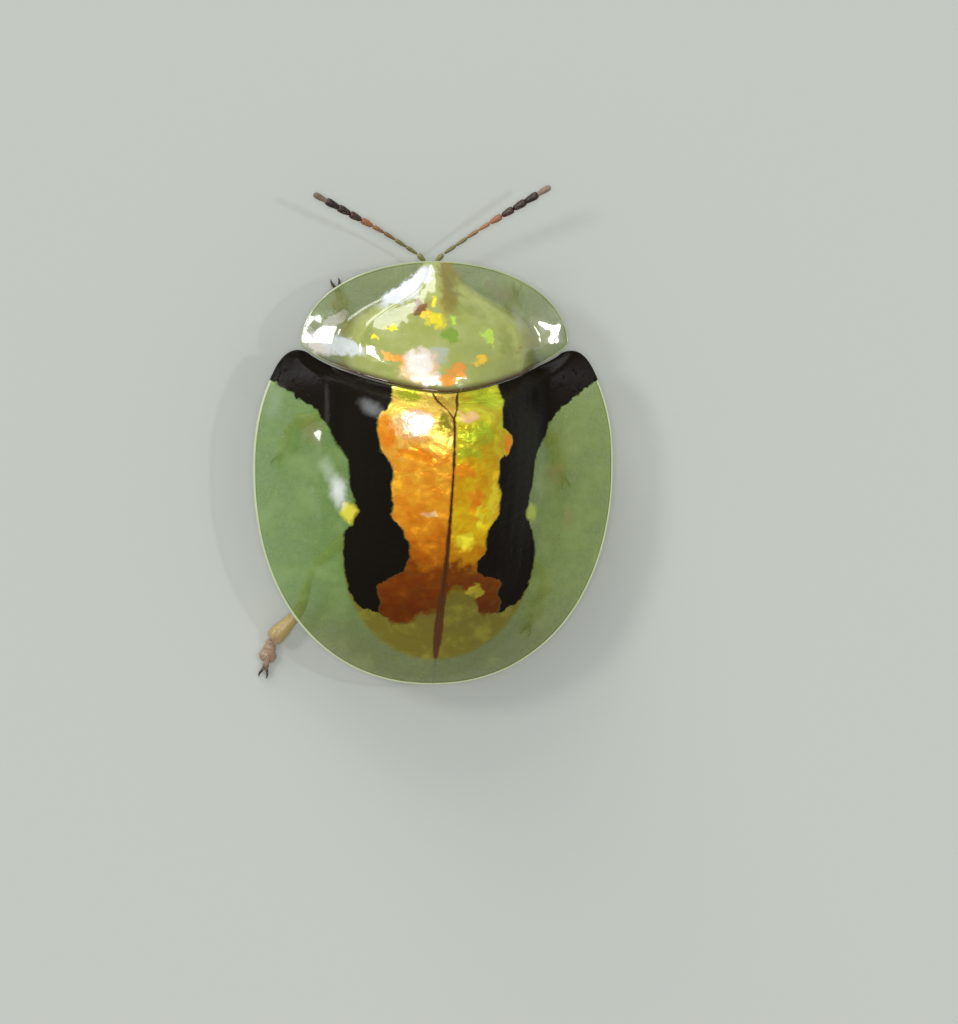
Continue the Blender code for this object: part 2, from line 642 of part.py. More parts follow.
def make_leg(name, side, stops, parent, ground):
    heights = (COXA_Z, KNEE_Z, SHIN_Z, ANKLE_Z, SOLE_Z)
    places = [Vector((side * x * mm, y * mm, z)) for (x, y), z in zip(stops, heights)]
    hip, bend, middle, heel, tip = places
    top = Vector((hip.x, hip.y, BELLY_Z - GAP))
    pieces = [cone("coxa", hip - Vector((0, 0, 0.12 * mm)), top, COXA_RADIUS, COXA_RADIUS * 0.9, 12)]
    shares = (0.0, 0.2, 0.5, 0.8, 1.0)
    thigh = (0.85, 1.0, 1.05, 0.92, 0.8)
    pieces.append(limb("femur", [hip.lerp(bend, s) for s in shares], [FEMUR_RADIUS * t for t in thigh]))
    pieces.append(ellipsoid("knee", bend, Vector((KNEE_RADIUS,) * 3) * 1.12, 10, 6))
    shin = [bend, bend.lerp(middle, 0.6), middle, middle.lerp(heel, 0.6), heel]
    thickness = [KNEE_RADIUS * 0.92, KNEE_RADIUS * 0.95, (KNEE_RADIUS + TIBIA_RADIUS) / 2, TIBIA_RADIUS, TIBIA_RADIUS]
    pieces.append(limb("tibia", shin, thickness))
    heading = math.atan2(tip.y - heel.y, tip.x - heel.x) - math.pi / 2
    foot = tip - heel
    for k, (share, width) in enumerate(((0.10, 0.90), (0.42, 0.98), (0.74, 1.10))):
        pad = heel + foot * share
        pad.z = SOLE_Z + 0.02 * mm
        half = Vector((TARSUS_HALF.x * width, TARSUS_HALF.y, TARSUS_HALF.z))
        pieces.append(ellipsoid(f"pad_{k}", pad, half, 12, 8, heading))
    along_foot = Vector((foot.x, foot.y, 0)).normalized()
    across = Vector((-along_foot.y, along_foot.x, 0))
    root = tip - along_foot * 0.22 * mm
    for spread in (-1, 1):
        start = root + across * spread * 0.08 * mm
        end = tip + (along_foot * 0.8 + across * spread * 0.55) * CLAW_LENGTH
        end.z = CLAW_RADIUS * 0.6
        pieces.append(cone("claw", start, end, CLAW_RADIUS, CLAW_RADIUS * 0.3, 8))
    fuse(name, pieces, "amber", parent, [ground])


def make_legs(parent, ground):
    for name, (side, *stops) in LEGS.items():
        make_leg(name, side, stops, parent, ground)


clear_scene()
parts = bpy.data.collections.new("tortoise_beetle")
cutters = bpy.data.collections.new("cutters")
scraps = bpy.data.collections.new("scraps")
for collection in (parts, cutters, scraps):
    bpy.context.scene.collection.children.link(collection)
materials = {name: make_material(name, *values) for name, values in COLOURS.items()}

origin = bpy.data.objects.new("apex_on_floor", None)
origin.location = (0, -(BODY_LENGTH + ANTENNA_REACH) / 2, 0)
parts.objects.link(origin)

ground = ground_cutter()
make_pronotum(origin)
make_elytra(origin)
make_scutellum(origin)
make_body(origin)
make_head(origin)
make_antennae(origin)
make_legs(origin, ground)
bpy.data.collections.remove(scraps)
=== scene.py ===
import bisect
import math
from types import SimpleNamespace

import bmesh
import bpy
from mathutils import Matrix, Vector, noise


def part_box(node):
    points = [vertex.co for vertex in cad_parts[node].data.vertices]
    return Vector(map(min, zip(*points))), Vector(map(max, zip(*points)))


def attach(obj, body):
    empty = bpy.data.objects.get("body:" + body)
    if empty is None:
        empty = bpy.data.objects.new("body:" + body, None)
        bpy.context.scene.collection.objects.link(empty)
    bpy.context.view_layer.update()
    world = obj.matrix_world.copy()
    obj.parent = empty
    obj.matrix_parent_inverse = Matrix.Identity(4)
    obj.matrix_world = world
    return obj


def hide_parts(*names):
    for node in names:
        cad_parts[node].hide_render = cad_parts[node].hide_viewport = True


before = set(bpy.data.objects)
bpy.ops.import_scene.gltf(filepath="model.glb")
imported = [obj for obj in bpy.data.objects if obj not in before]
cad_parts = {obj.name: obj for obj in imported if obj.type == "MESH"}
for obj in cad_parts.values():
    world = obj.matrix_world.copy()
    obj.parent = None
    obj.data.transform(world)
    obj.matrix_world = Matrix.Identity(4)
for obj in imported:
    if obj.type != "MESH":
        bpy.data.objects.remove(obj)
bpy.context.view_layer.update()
print("frame loaded with", len(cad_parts), "nodes")

# Pieces are modelled in millimetres, with y measured ahead of the elytral apex, and go into the frame at the end
mm = 0.001
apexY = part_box("elytron_left")[0].y / mm
toFrame = Matrix.Translation((0, apexY * mm, 0)) @ Matrix.Scale(mm, 4)
weld = 0.0005
workbench = bpy.data.collections.new("workbench")
bpy.context.scene.collection.children.link(workbench)

# The node tree that the helpers add to
drawing = {"tree": None}


# An output of a node: sums of wires add Math nodes, and a key gives another output of the same node
class Wire:
    def __init__(self, socket):
        self.socket = socket

    def __getitem__(self, key):
        return Wire(self.socket.node.outputs[key])

    def __add__(self, other):
        return maths("ADD", self, other)

    def __sub__(self, other):
        return maths("SUBTRACT", self, other)

    def __rsub__(self, other):
        return maths("SUBTRACT", other, self)

    def __mul__(self, other):
        return maths("MULTIPLY", self, other)

    def __truediv__(self, other):
        return maths("DIVIDE", self, other)

    def __rtruediv__(self, other):
        return maths("DIVIDE", other, self)

    def __abs__(self):
        return maths("ABSOLUTE", self)


def feed(socket, value):
    if isinstance(value, Wire):
        drawing["tree"].links.new(value.socket, socket)
    else:
        socket.default_value = (*value, 1.0) if socket.type == "RGBA" else value


def feedAll(sockets, values):
    for name, value in values.items():
        feed(sockets[name], value)


def addNode(kind, inputs, key=0, **settings):
    node = drawing["tree"].nodes.new(kind)
    for name, value in settings.items():
        setattr(node, name, value)
    feedAll(node.inputs, inputs)
    return Wire(node.outputs[key])


def maths(operation, first, second=0.0):
    return addNode("ShaderNodeMath", {0: first, 1: second}, operation=operation)


def largest(first, *others):
    for other in others:
        first = maths("MAXIMUM", first, other)
    return first


def stepped(value, low, high, atLow=0.0, atHigh=1.0):
    sockets = {0: value, 1: low, 2: high, 3: atLow, 4: atHigh}
    return addNode("ShaderNodeMapRange", sockets, interpolation_type="SMOOTHSTEP")


def mixed(share, first, second, blend="MIX"):
    return addNode("ShaderNodeMix", {0: share, 6: first, 7: second}, 2, data_type="RGBA", blend_type=blend)


# Lays paints over a colour one by one, each with its share
def painted(colour, *layers):
    for share, paint in layers:
        colour = mixed(share, colour, paint)
    return colour


def between(share, first, second):
    return addNode("ShaderNodeMix", {0: share, 2: first, 3: second}, data_type="FLOAT")


# A curve through points in real units: both axes are scaled to the node's 0 to 1
def curved(value, points, span):
    node = drawing["tree"].nodes.new("ShaderNodeFloatCurve")
    line = node.mapping.curves[0]
    while len(line.points) < len(points):
        line.points.new(0.5, 0.5)
    for knot, (x, y) in zip(line.points, sorted(points)):
        knot.location = (x / span[0], y / span[1])
        knot.handle_type = "AUTO_CLAMPED"
    node.mapping.update()
    feed(node.inputs["Value"], value / span[0])
    return Wire(node.outputs[0]) * span[1]


def colourRamp(value, low, high, stops):
    node = drawing["tree"].nodes.new("ShaderNodeValToRGB")
    node.color_ramp.interpolation = "EASE"
    elements = node.color_ramp.elements
    while len(elements) < len(stops):
        elements.new(0.5)
    for element, (position, colour) in zip(elements, sorted(stops)):
        element.position = (position - low) / (high - low)
        element.color = (*colour, 1.0)
    feed(node.inputs[0], addNode("ShaderNodeMapRange", {0: value, 1: low, 2: high, 3: 0.0, 4: 1.0}))
    return Wire(node.outputs[0])


def noiseAt(place, scale, detail=3.0, roughness=0.5):
    return addNode("ShaderNodeTexNoise", {"Vector": place, "Scale": scale, "Detail": detail, "Roughness": roughness})


def attributeAt(name):
    return addNode("ShaderNodeAttribute", {}, "Fac", attribute_name=name)


def bumped(height, distance, strength):
    return addNode("ShaderNodeBump", {"Height": height, "Distance": distance * mm, "Strength": strength})


# A soft oval spot in plan, 1 at its centre and 0 beyond its radii, turned by an angle in degrees
def spotAt(x, y, centre, radii, angle=0.0, core=0.25):
    cosine, sine = math.cos(math.radians(angle)), math.sin(math.radians(angle))
    right, ahead = x - centre[0], y - centre[1]
    along = right * (cosine / radii[0]) + ahead * (sine / radii[0])
    aside = right * (-sine / radii[1]) + ahead * (cosine / radii[1])
    return stepped(along * along + aside * aside, 1.0, core)


# The same place, moved about by a noise so that what is painted there has ragged edges
def drifted(place, x, y, detail, amount):
    drift = addNode("ShaderNodeTexNoise", {"Vector": place, "Scale": 5.0, "Detail": detail}, "Color")
    parts = addNode("ShaderNodeSeparateColor", {0: drift})
    return x + (parts[0] - 0.5) * amount, y + (parts[1] - 0.5) * amount


def newTree(name, kind, inputs, outputs):
    tree = drawing["tree"] = bpy.data.node_groups.new(name, kind)
    for label, form, *value in inputs:
        socket = tree.interface.new_socket(label, in_out="INPUT", socket_type="NodeSocket" + form)
        if value:
            socket.default_value = value[0]
    for label, form in outputs:
        tree.interface.new_socket(label, in_out="OUTPUT", socket_type="NodeSocket" + form)
    return tree, Wire(tree.nodes.new("NodeGroupInput").outputs[0]), tree.nodes.new("NodeGroupOutput").inputs


def useGroup(group, inputs):
    return addNode("ShaderNodeGroup", inputs, node_tree=group)


# Shared effects
def makeCuticleGroup():
    sockets = [("Place", "Vector"), ("Pits per mm", "Float", 7.0), ("Pit Size", "Float", 0.3)]
    outputs = [("Height", "Float"), ("Mottle", "Float")]
    tree, given, result = newTree("punctateCuticle", "ShaderNodeTree", sockets, outputs)
    pits = addNode("ShaderNodeTexVoronoi", {"Vector": given["Place"], "Scale": given["Pits per mm"]}, "Distance")
    hollow = stepped(pits, 0.0, given["Pit Size"])
    feedAll(result, {
        "Height": hollow * 0.6 + noiseAt(given["Place"], 9.0, 4.0) * 0.4,
        "Mottle": noiseAt(given["Place"], 2.3, 5.0, 0.62),
    })
    return tree


def makeWindowGroup():
    sockets = [("Place", "Vector"), ("Cells per mm", "Float", 6.0), ("Tint", "Color")]
    outputs = [("Colour", "Color"), ("Veil", "Float")]
    tree, given, result = newTree("windowCuticle", "ShaderNodeTree", sockets, outputs)
    wander = addNode("ShaderNodeTexNoise", {"Vector": given["Place"], "Scale": 5.0}, "Color")
    sockets = {"Vector": mixed(0.1, given["Place"], wander), "Scale": given["Cells per mm"]}
    wall = stepped(addNode("ShaderNodeTexVoronoi", sockets, "Distance", feature="DISTANCE_TO_EDGE"), 0.12, 0.0)
    cloud = noiseAt(given["Place"], 1.6, 5.0, 0.6)
    darker = mixed(0.45, given["Tint"], (0.06, 0.11, 0.01))
    paler = mixed(0.16, given["Tint"], (0.62, 0.70, 0.40))
    feedAll(result, {
        "Colour": painted(given["Tint"], (wall * 0.30, darker), (stepped(cloud, 0.40, 0.80), paler)),
        "Veil": wall * 0.05 + stepped(cloud, 0.30, 0.75, -0.08, 0.10),
    })
    return tree


def makeFoilGroup():
    sockets = [("Place", "Vector"), ("Base", "Color"), ("Crinkle", "Float", 3.2)]
    outputs = [("Colour", "Color"), ("Height", "Float"), ("Gloss", "Float")]
    tree, given, result = newTree("goldFoil", "ShaderNodeTree", sockets, outputs)
    stretch = addNode("ShaderNodeMapping", {"Vector": given["Place"], "Scale": (1.0, 1.15, 1.0)})
    sockets = {"Vector": stretch, "Scale": given["Crinkle"], "Detail": 1.5, "Distortion": 0.4}
    folds = addNode("ShaderNodeTexNoise", sockets)
    flake = addNode("ShaderNodeSeparateColor", {0: folds["Color"]}, 1)
    fine = noiseAt(stretch, 16.0, 4.0, 0.6)
    warm = mixed(0.36, given["Base"], (0.80, 0.26, 0.02), "MULTIPLY")
    pale = mixed(0.45, given["Base"], given["Base"], "ADD")
    feedAll(result, {
        "Colour": painted(
            given["Base"], (stepped(flake, 0.52, 0.38), warm), (stepped(flake, 0.56, 0.70), pale),
            (stepped(fine, 0.52, 0.34, 0.0, 0.5), warm),
        ),
        "Height": abs(folds["Fac"] - 0.5) * 1.6 + fine * 0.24,
        "Gloss": stepped(fine, 0.35, 0.70, 0.34, 0.16),
    })
    return tree


cuticleGroup = makeCuticleGroup()
windowGroup = makeWindowGroup()
foilGroup = makeFoilGroup()


# A material with its Principled shader's inputs, and the place on the beetle in millimetres from the apex
def newMaterial(name, **settings):
    material = bpy.data.materials.new(name)
    material.use_nodes = True
    tree = drawing["tree"] = material.node_tree
    shader = tree.nodes["Principled BSDF"].inputs
    for label, value in settings.items():
        shader[label.replace("_", " ")].default_value = value
    coordinates = addNode("ShaderNodeTexCoord", {}, "Object")
    sockets = {"Vector": coordinates, "Location": (0, -apexY, 0), "Scale": (1 / mm,) * 3}
    return material, shader, addNode("ShaderNodeMapping", sockets)


# Curves of the markings on one elytron, as distance ahead of the apex and distance from the suture
elytraMarks = {
    "bandOuter": (
        (0.0, 0.0), (1.36, 1.05), (1.49, 1.32), (1.68, 1.62), (1.90, 1.74), (2.20, 1.85), (2.70, 1.90), (3.02, 1.88),
        (3.28, 1.73), (3.60, 1.72), (4.00, 1.82), (4.45, 1.87), (4.80, 2.03), (5.10, 2.18), (5.40, 2.42),
        (5.60, 2.70), (5.82, 2.98), (6.03, 3.34), (6.25, 4.0), (8.0, 4.0),
    ),
    "bandInnerLeft": (
        (0.0, 0.9), (1.36, 1.00), (1.48, 1.18), (1.68, 1.14), (1.86, 1.24), (2.04, 1.26), (2.14, 1.08), (2.26, 0.90),
        (2.40, 0.76), (2.64, 0.70), (3.05, 0.82), (3.45, 1.08), (3.85, 1.10), (4.25, 1.11), (4.50, 1.17),
        (4.70, 1.31), (5.00, 1.34), (5.24, 1.38), (5.45, 1.20), (5.70, 1.07), (6.0, 0.95), (8.0, 0.95),
    ),
    "bandInnerRight": (
        (0.0, 0.9), (1.34, 0.95), (1.48, 1.20), (1.66, 1.22), (1.84, 1.14), (2.06, 1.18), (2.15, 1.04), (2.24, 0.74),
        (2.40, 0.62), (2.66, 0.77), (3.10, 0.78), (3.40, 0.98), (3.80, 1.02), (4.15, 0.95), (4.45, 0.96),
        (4.66, 1.20), (4.92, 1.26), (5.10, 1.03), (5.35, 1.00), (5.60, 1.10), (6.0, 1.08), (8.0, 1.08),
    ),
    "sutureWidth": (
        (0.0, 0.0), (0.42, 0.01), (0.62, 0.050), (0.95, 0.085), (1.6, 0.080), (2.2, 0.058), (2.9, 0.042),
        (5.0, 0.030), (5.30, 0.040), (5.78, 0.265), (8.0, 0.265),
    ),
    "span": (8.0, 4.0),
    "edgeSoftness": 0.030,
    "wobble": 0.17,
    "raggedness": 0.30,
    "bandRear": (1.38, 1.48),
    "goldRear": (
        ((0.0, 1.56), (0.30, 1.47), (0.85, 1.28), (1.20, 1.42), (2.0, 1.46)),
        ((0.0, 1.88), (0.62, 1.84), (0.84, 1.46), (1.10, 1.38), (1.30, 1.48), (2.0, 1.46)),
    ),
    "discRear": (2.60, 1.88, 2.08),  # centre y, half width and reach of the tinted rear end of the disc
    "spot": ((1.81, 3.43), (0.17, 0.24)),
    # Painted highlights on the margin and the black, pale patches in place of reflections: strength, centre, radii,
    # turn in degrees and how far its core reaches
    "sheen": (
        (1.00, (-2.00, 3.84), (0.20, 0.46), 8, -0.5), (0.45, (-2.16, 4.22), (0.20, 0.42), 20, -1.0),
        (0.30, (-1.46, 5.48), (0.30, 0.20), -35, -0.8), (0.20, (-3.18, 5.52), (0.22, 0.50), -16, -1.0),
    ),
    # Brown smudges on the margin: centre, radii and turn in degrees
    "smudges": (((-2.46, 4.98), (0.30, 0.40), 20), ((2.34, 4.16), (0.26, 0.34), -20), ((2.62, 3.30), (0.18, 0.30), 0)),
    # Patches of the gold: colour name, centre (left of the suture below 0) and radii. The white and pink patches are
    # painted highlights and the two narrow yellow streaks 3.4 to 3.7 ahead are painted highlight streaks; the others
    # are colour of the gold
    "patches": (
        ("lime", (-0.74, 5.74), (0.30, 0.16)), ("lime", (0.80, 5.66), (0.34, 0.24)),
        ("lime", (0.48, 5.02), (0.46, 0.28)), ("olive", (-0.16, 5.22), (0.14, 0.30)),
        ("amber", (-1.24, 5.04), (0.26, 0.44)), ("amber", (-0.70, 4.62), (0.50, 0.14)),
        ("pink", (-0.74, 5.20), (0.46, 0.36)), ("white", (-0.66, 5.24), (0.34, 0.28)),
        ("pink", (0.30, 5.34), (0.26, 0.10)), ("amber", (1.16, 4.82), (0.14, 0.26)),
        ("amber", (0.20, 4.30), (0.30, 0.16)), ("lime", (0.30, 4.66), (0.30, 0.16)),
        ("yellow", (0.86, 3.70), (0.13, 0.50)), ("amber", (0.50, 3.72), (0.20, 0.30)),
        ("yellow", (0.62, 3.42), (0.07, 0.36)), ("yellow", (0.34, 2.92), (0.28, 0.19)),
        ("pink", (-0.42, 3.46), (0.17, 0.06)), ("olive", (0.34, 1.78), (0.30, 0.26)),
        ("dull", (0.66, 1.90), (0.20, 0.13)),
    ),
}

elytraColours = {
    "windowLeft": (0.125, 0.245, 0.030),
    "windowRight": (0.170, 0.255, 0.020),
    "windowRear": (0.115, 0.150, 0.006),
    "rearDisc": (0.155, 0.125, 0.003),
    "rearDiscPale": (0.230, 0.215, 0.012),
    "black": (0.007, 0.005, 0.003),
    # Colour of the painted highlights
    "sheen": (0.90, 0.92, 0.93),
    "suture": (0.085, 0.024, 0.002),
    "rim": (0.46, 0.52, 0.34),
    "smudge": (0.30, 0.17, 0.04),
    "spotLeft": (0.66, 0.60, 0.05),
    "spotRight": (0.42, 0.50, 0.08),
    "lime": (0.50, 0.62, 0.03),
    "olive": (0.24, 0.22, 0.012),
    "dull": (0.46, 0.38, 0.03),
    # White and pink are painted highlight colours
    "white": (1.0, 0.92, 0.80),
    "amber": (1.0, 0.34, 0.012),
    "pink": (1.0, 0.62, 0.30),
    "yellow": (0.98, 0.84, 0.04),
    # The gold from the rear end forwards
    "left": (
        (1.5, (0.17, 0.038, 0.001)), (2.2, (0.25, 0.060, 0.002)), (2.7, (0.58, 0.18, 0.005)),
        (3.1, (0.84, 0.30, 0.012)), (3.6, (1.0, 0.42, 0.022)), (4.4, (1.0, 0.47, 0.030)), (4.9, (1.0, 0.62, 0.10)),
        (5.5, (0.98, 0.74, 0.12)),
    ),
    "right": (
        (1.5, (0.14, 0.032, 0.001)), (2.2, (0.22, 0.055, 0.002)), (2.6, (0.66, 0.30, 0.005)),
        (3.3, (0.94, 0.62, 0.012)), (4.2, (0.84, 0.52, 0.012)), (4.8, (0.74, 0.60, 0.020)), (5.5, (0.66, 0.66, 0.04)),
    ),
}


def makeElytraMaterial():
    marks, colours = elytraMarks, elytraColours
    material, shader, place = newMaterial("elytra_cuticle", IOR=1.3, Coat_IOR=1.6, Coat_Roughness=0.04)
    axes = addNode("ShaderNodeSeparateXYZ", {0: place})
    x, y = axes[0], axes[1]
    across, onRight = abs(x), maths("GREATER_THAN", x, 0.0)
    wobble = noiseAt(place, 3.4, 3.0, 0.6) - 0.5
    wobbled = wobble * marks["wobble"] + across
    ragged = (noiseAt(place, 5.0, 4.0, 0.6) - 0.5) * marks["raggedness"] + y
    ripple = wobble * 0.30 + ragged
    soft = marks["edgeSoftness"]

    def inside(name):  # 1 where the surface lies nearer the suture than the curve
        return stepped(curved(ragged, marks[name], marks["span"]) - wobbled, -soft, soft)

    withinGold = between(onRight, inside("bandInnerLeft"), inside("bandInnerRight"))
    rearEdge = between(onRight, *[curved(across, points, (2.0, 2.0)) for points in marks["goldRear"]])
    gold = withinGold * stepped(ripple - rearEdge, -0.09, 0.07)
    band = inside("bandOuter") * (1.0 - withinGold) * stepped(ripple, *marks["bandRear"])
    centreY, halfWidth, reach = marks["discRear"]
    discX, discY = across / halfWidth, maths("MINIMUM", y - centreY, 0.0) / reach
    disc = stepped(discX * discX + discY * discY, 1.06, 0.94)
    seam = curved(y, marks["sutureWidth"], marks["span"]) + (noiseAt(place, 6.0, 3.0, 0.6) - 0.5) * 0.07
    suture = stepped(seam - across, -0.024, 0.024) * largest(disc, 0.4)
    spot = spotAt(wobbled, wobble * 0.12 + ragged, *marks["spot"])

    tint = painted(
        colours["windowLeft"], (stepped(x, -0.8, 0.8), colours["windowRight"]),
        (stepped(y, 2.2, 0.6), colours["windowRear"]),
    )
    window = useGroup(windowGroup, {"Place": place, "Tint": tint})
    mottle = useGroup(cuticleGroup, {"Place": place, "Pits per mm": 7.5, "Pit Size": 0.28})
    shifted = (mottle["Mottle"] - 0.5) * 1.3 + y
    hue = mixed(stepped(x, -0.06, 0.06), *[colourRamp(shifted, 1.5, 5.5, colours[name]) for name in ("left", "right")])
    driftX, driftY = drifted(place, x, y, 4.0, 0.36)
    # Lays the patches on the gold, painted highlights among them
    hue = painted(hue, *[(spotAt(driftX, driftY, *oval) * 0.9, colours[name]) for name, *oval in marks["patches"]])
    foil = useGroup(foilGroup, {"Place": place, "Base": hue})

    rear = mixed(stepped(mottle["Mottle"], 0.45, 0.7), colours["rearDisc"], colours["rearDiscPale"])
    tinted = disc * stepped(y, 3.0, 2.6)
    paleRim = attributeAt("rim") * (1.0 - band)
    # Painted highlights: pale patches laid over the margin and the black in place of reflections
    nearX, nearY = between(0.45, x, driftX), between(0.45, y, driftY)
    sheen = largest(*[spotAt(nearX, nearY, *oval) * strength for strength, *oval in marks["sheen"]])
    smudges = [(spotAt(driftX, driftY, *oval, -1.2) * 0.8, colours["smudge"]) for oval in marks["smudges"]]
    colour = painted(
        window["Colour"], *smudges, (tinted, rear), (gold, foil["Colour"]), (band, colours["black"]),
        (spot, mixed(onRight, colours["spotLeft"], colours["spotRight"])), (suture, colours["suture"]),
        (paleRim, colours["rim"]), (sheen, colours["sheen"]),
    )
    opaque = largest(gold, band, spot, paleRim, sheen)
    clear, unsewn = 1.0 - opaque, 1.0 - suture
    alpha = between(opaque, between(tinted, window["Veil"] + 0.74, 0.96), 1.0)
    relief = foil["Height"] * gold + mottle["Height"] * between(band, 0.08, 0.5)
    feedAll(shader, {
        "Base Color": colour,
        "Alpha": alpha * (1.0 - attributeAt("under") * clear * 0.9),
        "Metallic": gold * unsewn * 0.50,
        "Roughness": between(suture, between(gold, between(band, 0.20, 0.30), foil["Gloss"]), 0.45),
        "Coat Weight": clear * between(tinted, 1.0, 0.35) * unsewn,
        "Specular IOR Level": between(band, 0.5, 0.16),
        "Normal": bumped(relief, 0.030, 0.8),
    })
    return material


pronotumMarks = {
    "window": (0.16, 0.215, 0.040),
    "bell": (0.34, 0.39, 0.090),
    "bellPale": (0.45, 0.49, 0.170),
    "bellEdge": (0.19, 0.205, 0.030),
    "bellShade": (0.20, 0.250, 0.040),
    "amber": (0.42, 0.24, 0.03),
    "olive": (0.38, 0.38, 0.11),
    "keel": (0.20, 0.145, 0.014),
    "brown": (0.20, 0.085, 0.012),
    # Pale, sky reflection, pink highlight and haze are painted highlight and painted reflection colours
    "pale": (0.92, 0.86, 0.78),
    "skyReflection": (0.80, 0.84, 0.90),
    "gold": (0.95, 0.62, 0.05),
    "orange": (0.88, 0.36, 0.05),
    "yellow": (0.92, 0.80, 0.03),
    "green": (0.20, 0.35, 0.03),
    "lime": (0.56, 0.80, 0.10),
    "pink": (1.0, 0.66, 0.40),
    "haze": (0.42, 0.47, 0.36),
    "rearBorder": (0.060, 0.018, 0.004),
    "rim": (0.40, 0.46, 0.28),
    # Iridescent flecks and painted highlights: colour name, centre and radii in millimetres, all seen in plan. The pink
    # and pale flecks are a painted highlight at the rear of the bell, and the haze fleck is a painted reflection
    "flecks": (
        ("haze", (-0.16, 6.50), (0.26, 0.20)), ("green", (0.16, 6.86), (0.24, 0.16)),
        ("brown", (-0.44, 7.42), (0.16, 0.18)), ("yellow", (-0.13, 7.54), (0.09, 0.12)),
        ("yellow", (-0.14, 7.14), (0.22, 0.16)), ("gold", (-0.30, 7.26), (0.12, 0.10)),
        ("lime", (0.20, 7.18), (0.11, 0.10)), ("lime", (0.87, 6.90), (0.18, 0.12)),
        ("lime", (0.98, 6.76), (0.10, 0.12)), ("orange", (-0.99, 6.47), (0.22, 0.12)),
        ("orange", (-0.72, 6.34), (0.26, 0.18)), ("pink", (-0.48, 6.26), (0.46, 0.42)),
        ("pale", (-0.50, 6.34), (0.32, 0.34)), ("pale", (-0.26, 6.02), (0.42, 0.15)),
        ("orange", (0.02, 6.02), (0.20, 0.14)), ("orange", (0.23, 6.22), (0.22, 0.17)),
        ("gold", (0.75, 6.40), (0.17, 0.14)), ("yellow", (-1.28, 6.82), (0.09, 0.07)),
        ("yellow", (-0.97, 7.02), (0.11, 0.06)),
    ),
    # Smears, painted highlights and painted reflections: colour name, strength, centre, radii and turn in degrees. The
    # sky smears are a painted reflection of a bright sky, the stripe down the front left of the bell among them, and
    # the pale and haze smears are painted highlights and painted reflection haze on the lobes; the others are colour
    "smears": (
        ("bellShade", 0.8, (-1.06, 7.20), (0.50, 0.15), 28), ("bellShade", 0.7, (0.62, 7.36), (0.44, 0.14), -30),
        ("bellShade", 0.6, (-1.42, 6.80), (0.16, 0.34), 0), ("bellShade", 0.7, (1.30, 6.72), (0.15, 0.50), 12),
        ("bellShade", 0.5, (0.50, 6.60), (0.34, 0.20), 10), ("amber", 0.6, (-0.36, 7.44), (0.36, 0.12), 20),
        ("amber", 0.5, (0.02, 7.36), (0.15, 0.24), 0), ("amber", 0.4, (1.74, 6.70), (0.30, 0.12), 20),
        ("olive", 0.7, (1.96, 6.88), (0.60, 0.50), -20), ("brown", 0.5, (1.32, 7.66), (0.30, 0.20), 0),
        ("brown", 0.7, (1.54, 6.56), (0.07, 0.08), 0), ("brown", 0.4, (1.05, 7.82), (0.20, 0.10), -20),
        ("haze", 0.6, (1.58, 7.20), (0.16, 0.36), 20), ("haze", 0.5, (1.98, 6.62), (0.34, 0.10), 10),
        ("pale", 0.8, (-2.34, 6.68), (0.46, 0.24), -25), ("skyReflection", 0.85, (-1.90, 6.64), (0.46, 0.20), -14),
        ("pale", 0.4, (-2.00, 7.16), (0.34, 0.14), 30), ("haze", 0.7, (-1.96, 6.76), (0.30, 0.28), 0),
        ("skyReflection", 0.9, (-0.62, 7.80), (0.80, 0.17), 35), ("skyReflection", 0.6, (-0.50, 7.70), (0.36, 0.16), 40),
    ),
    # The painted reflection and painted highlights that keep hard edges
    "crisp": ("skyReflection", "pale"),
    "dullFlecks": ("haze", "green", "brown"),
}


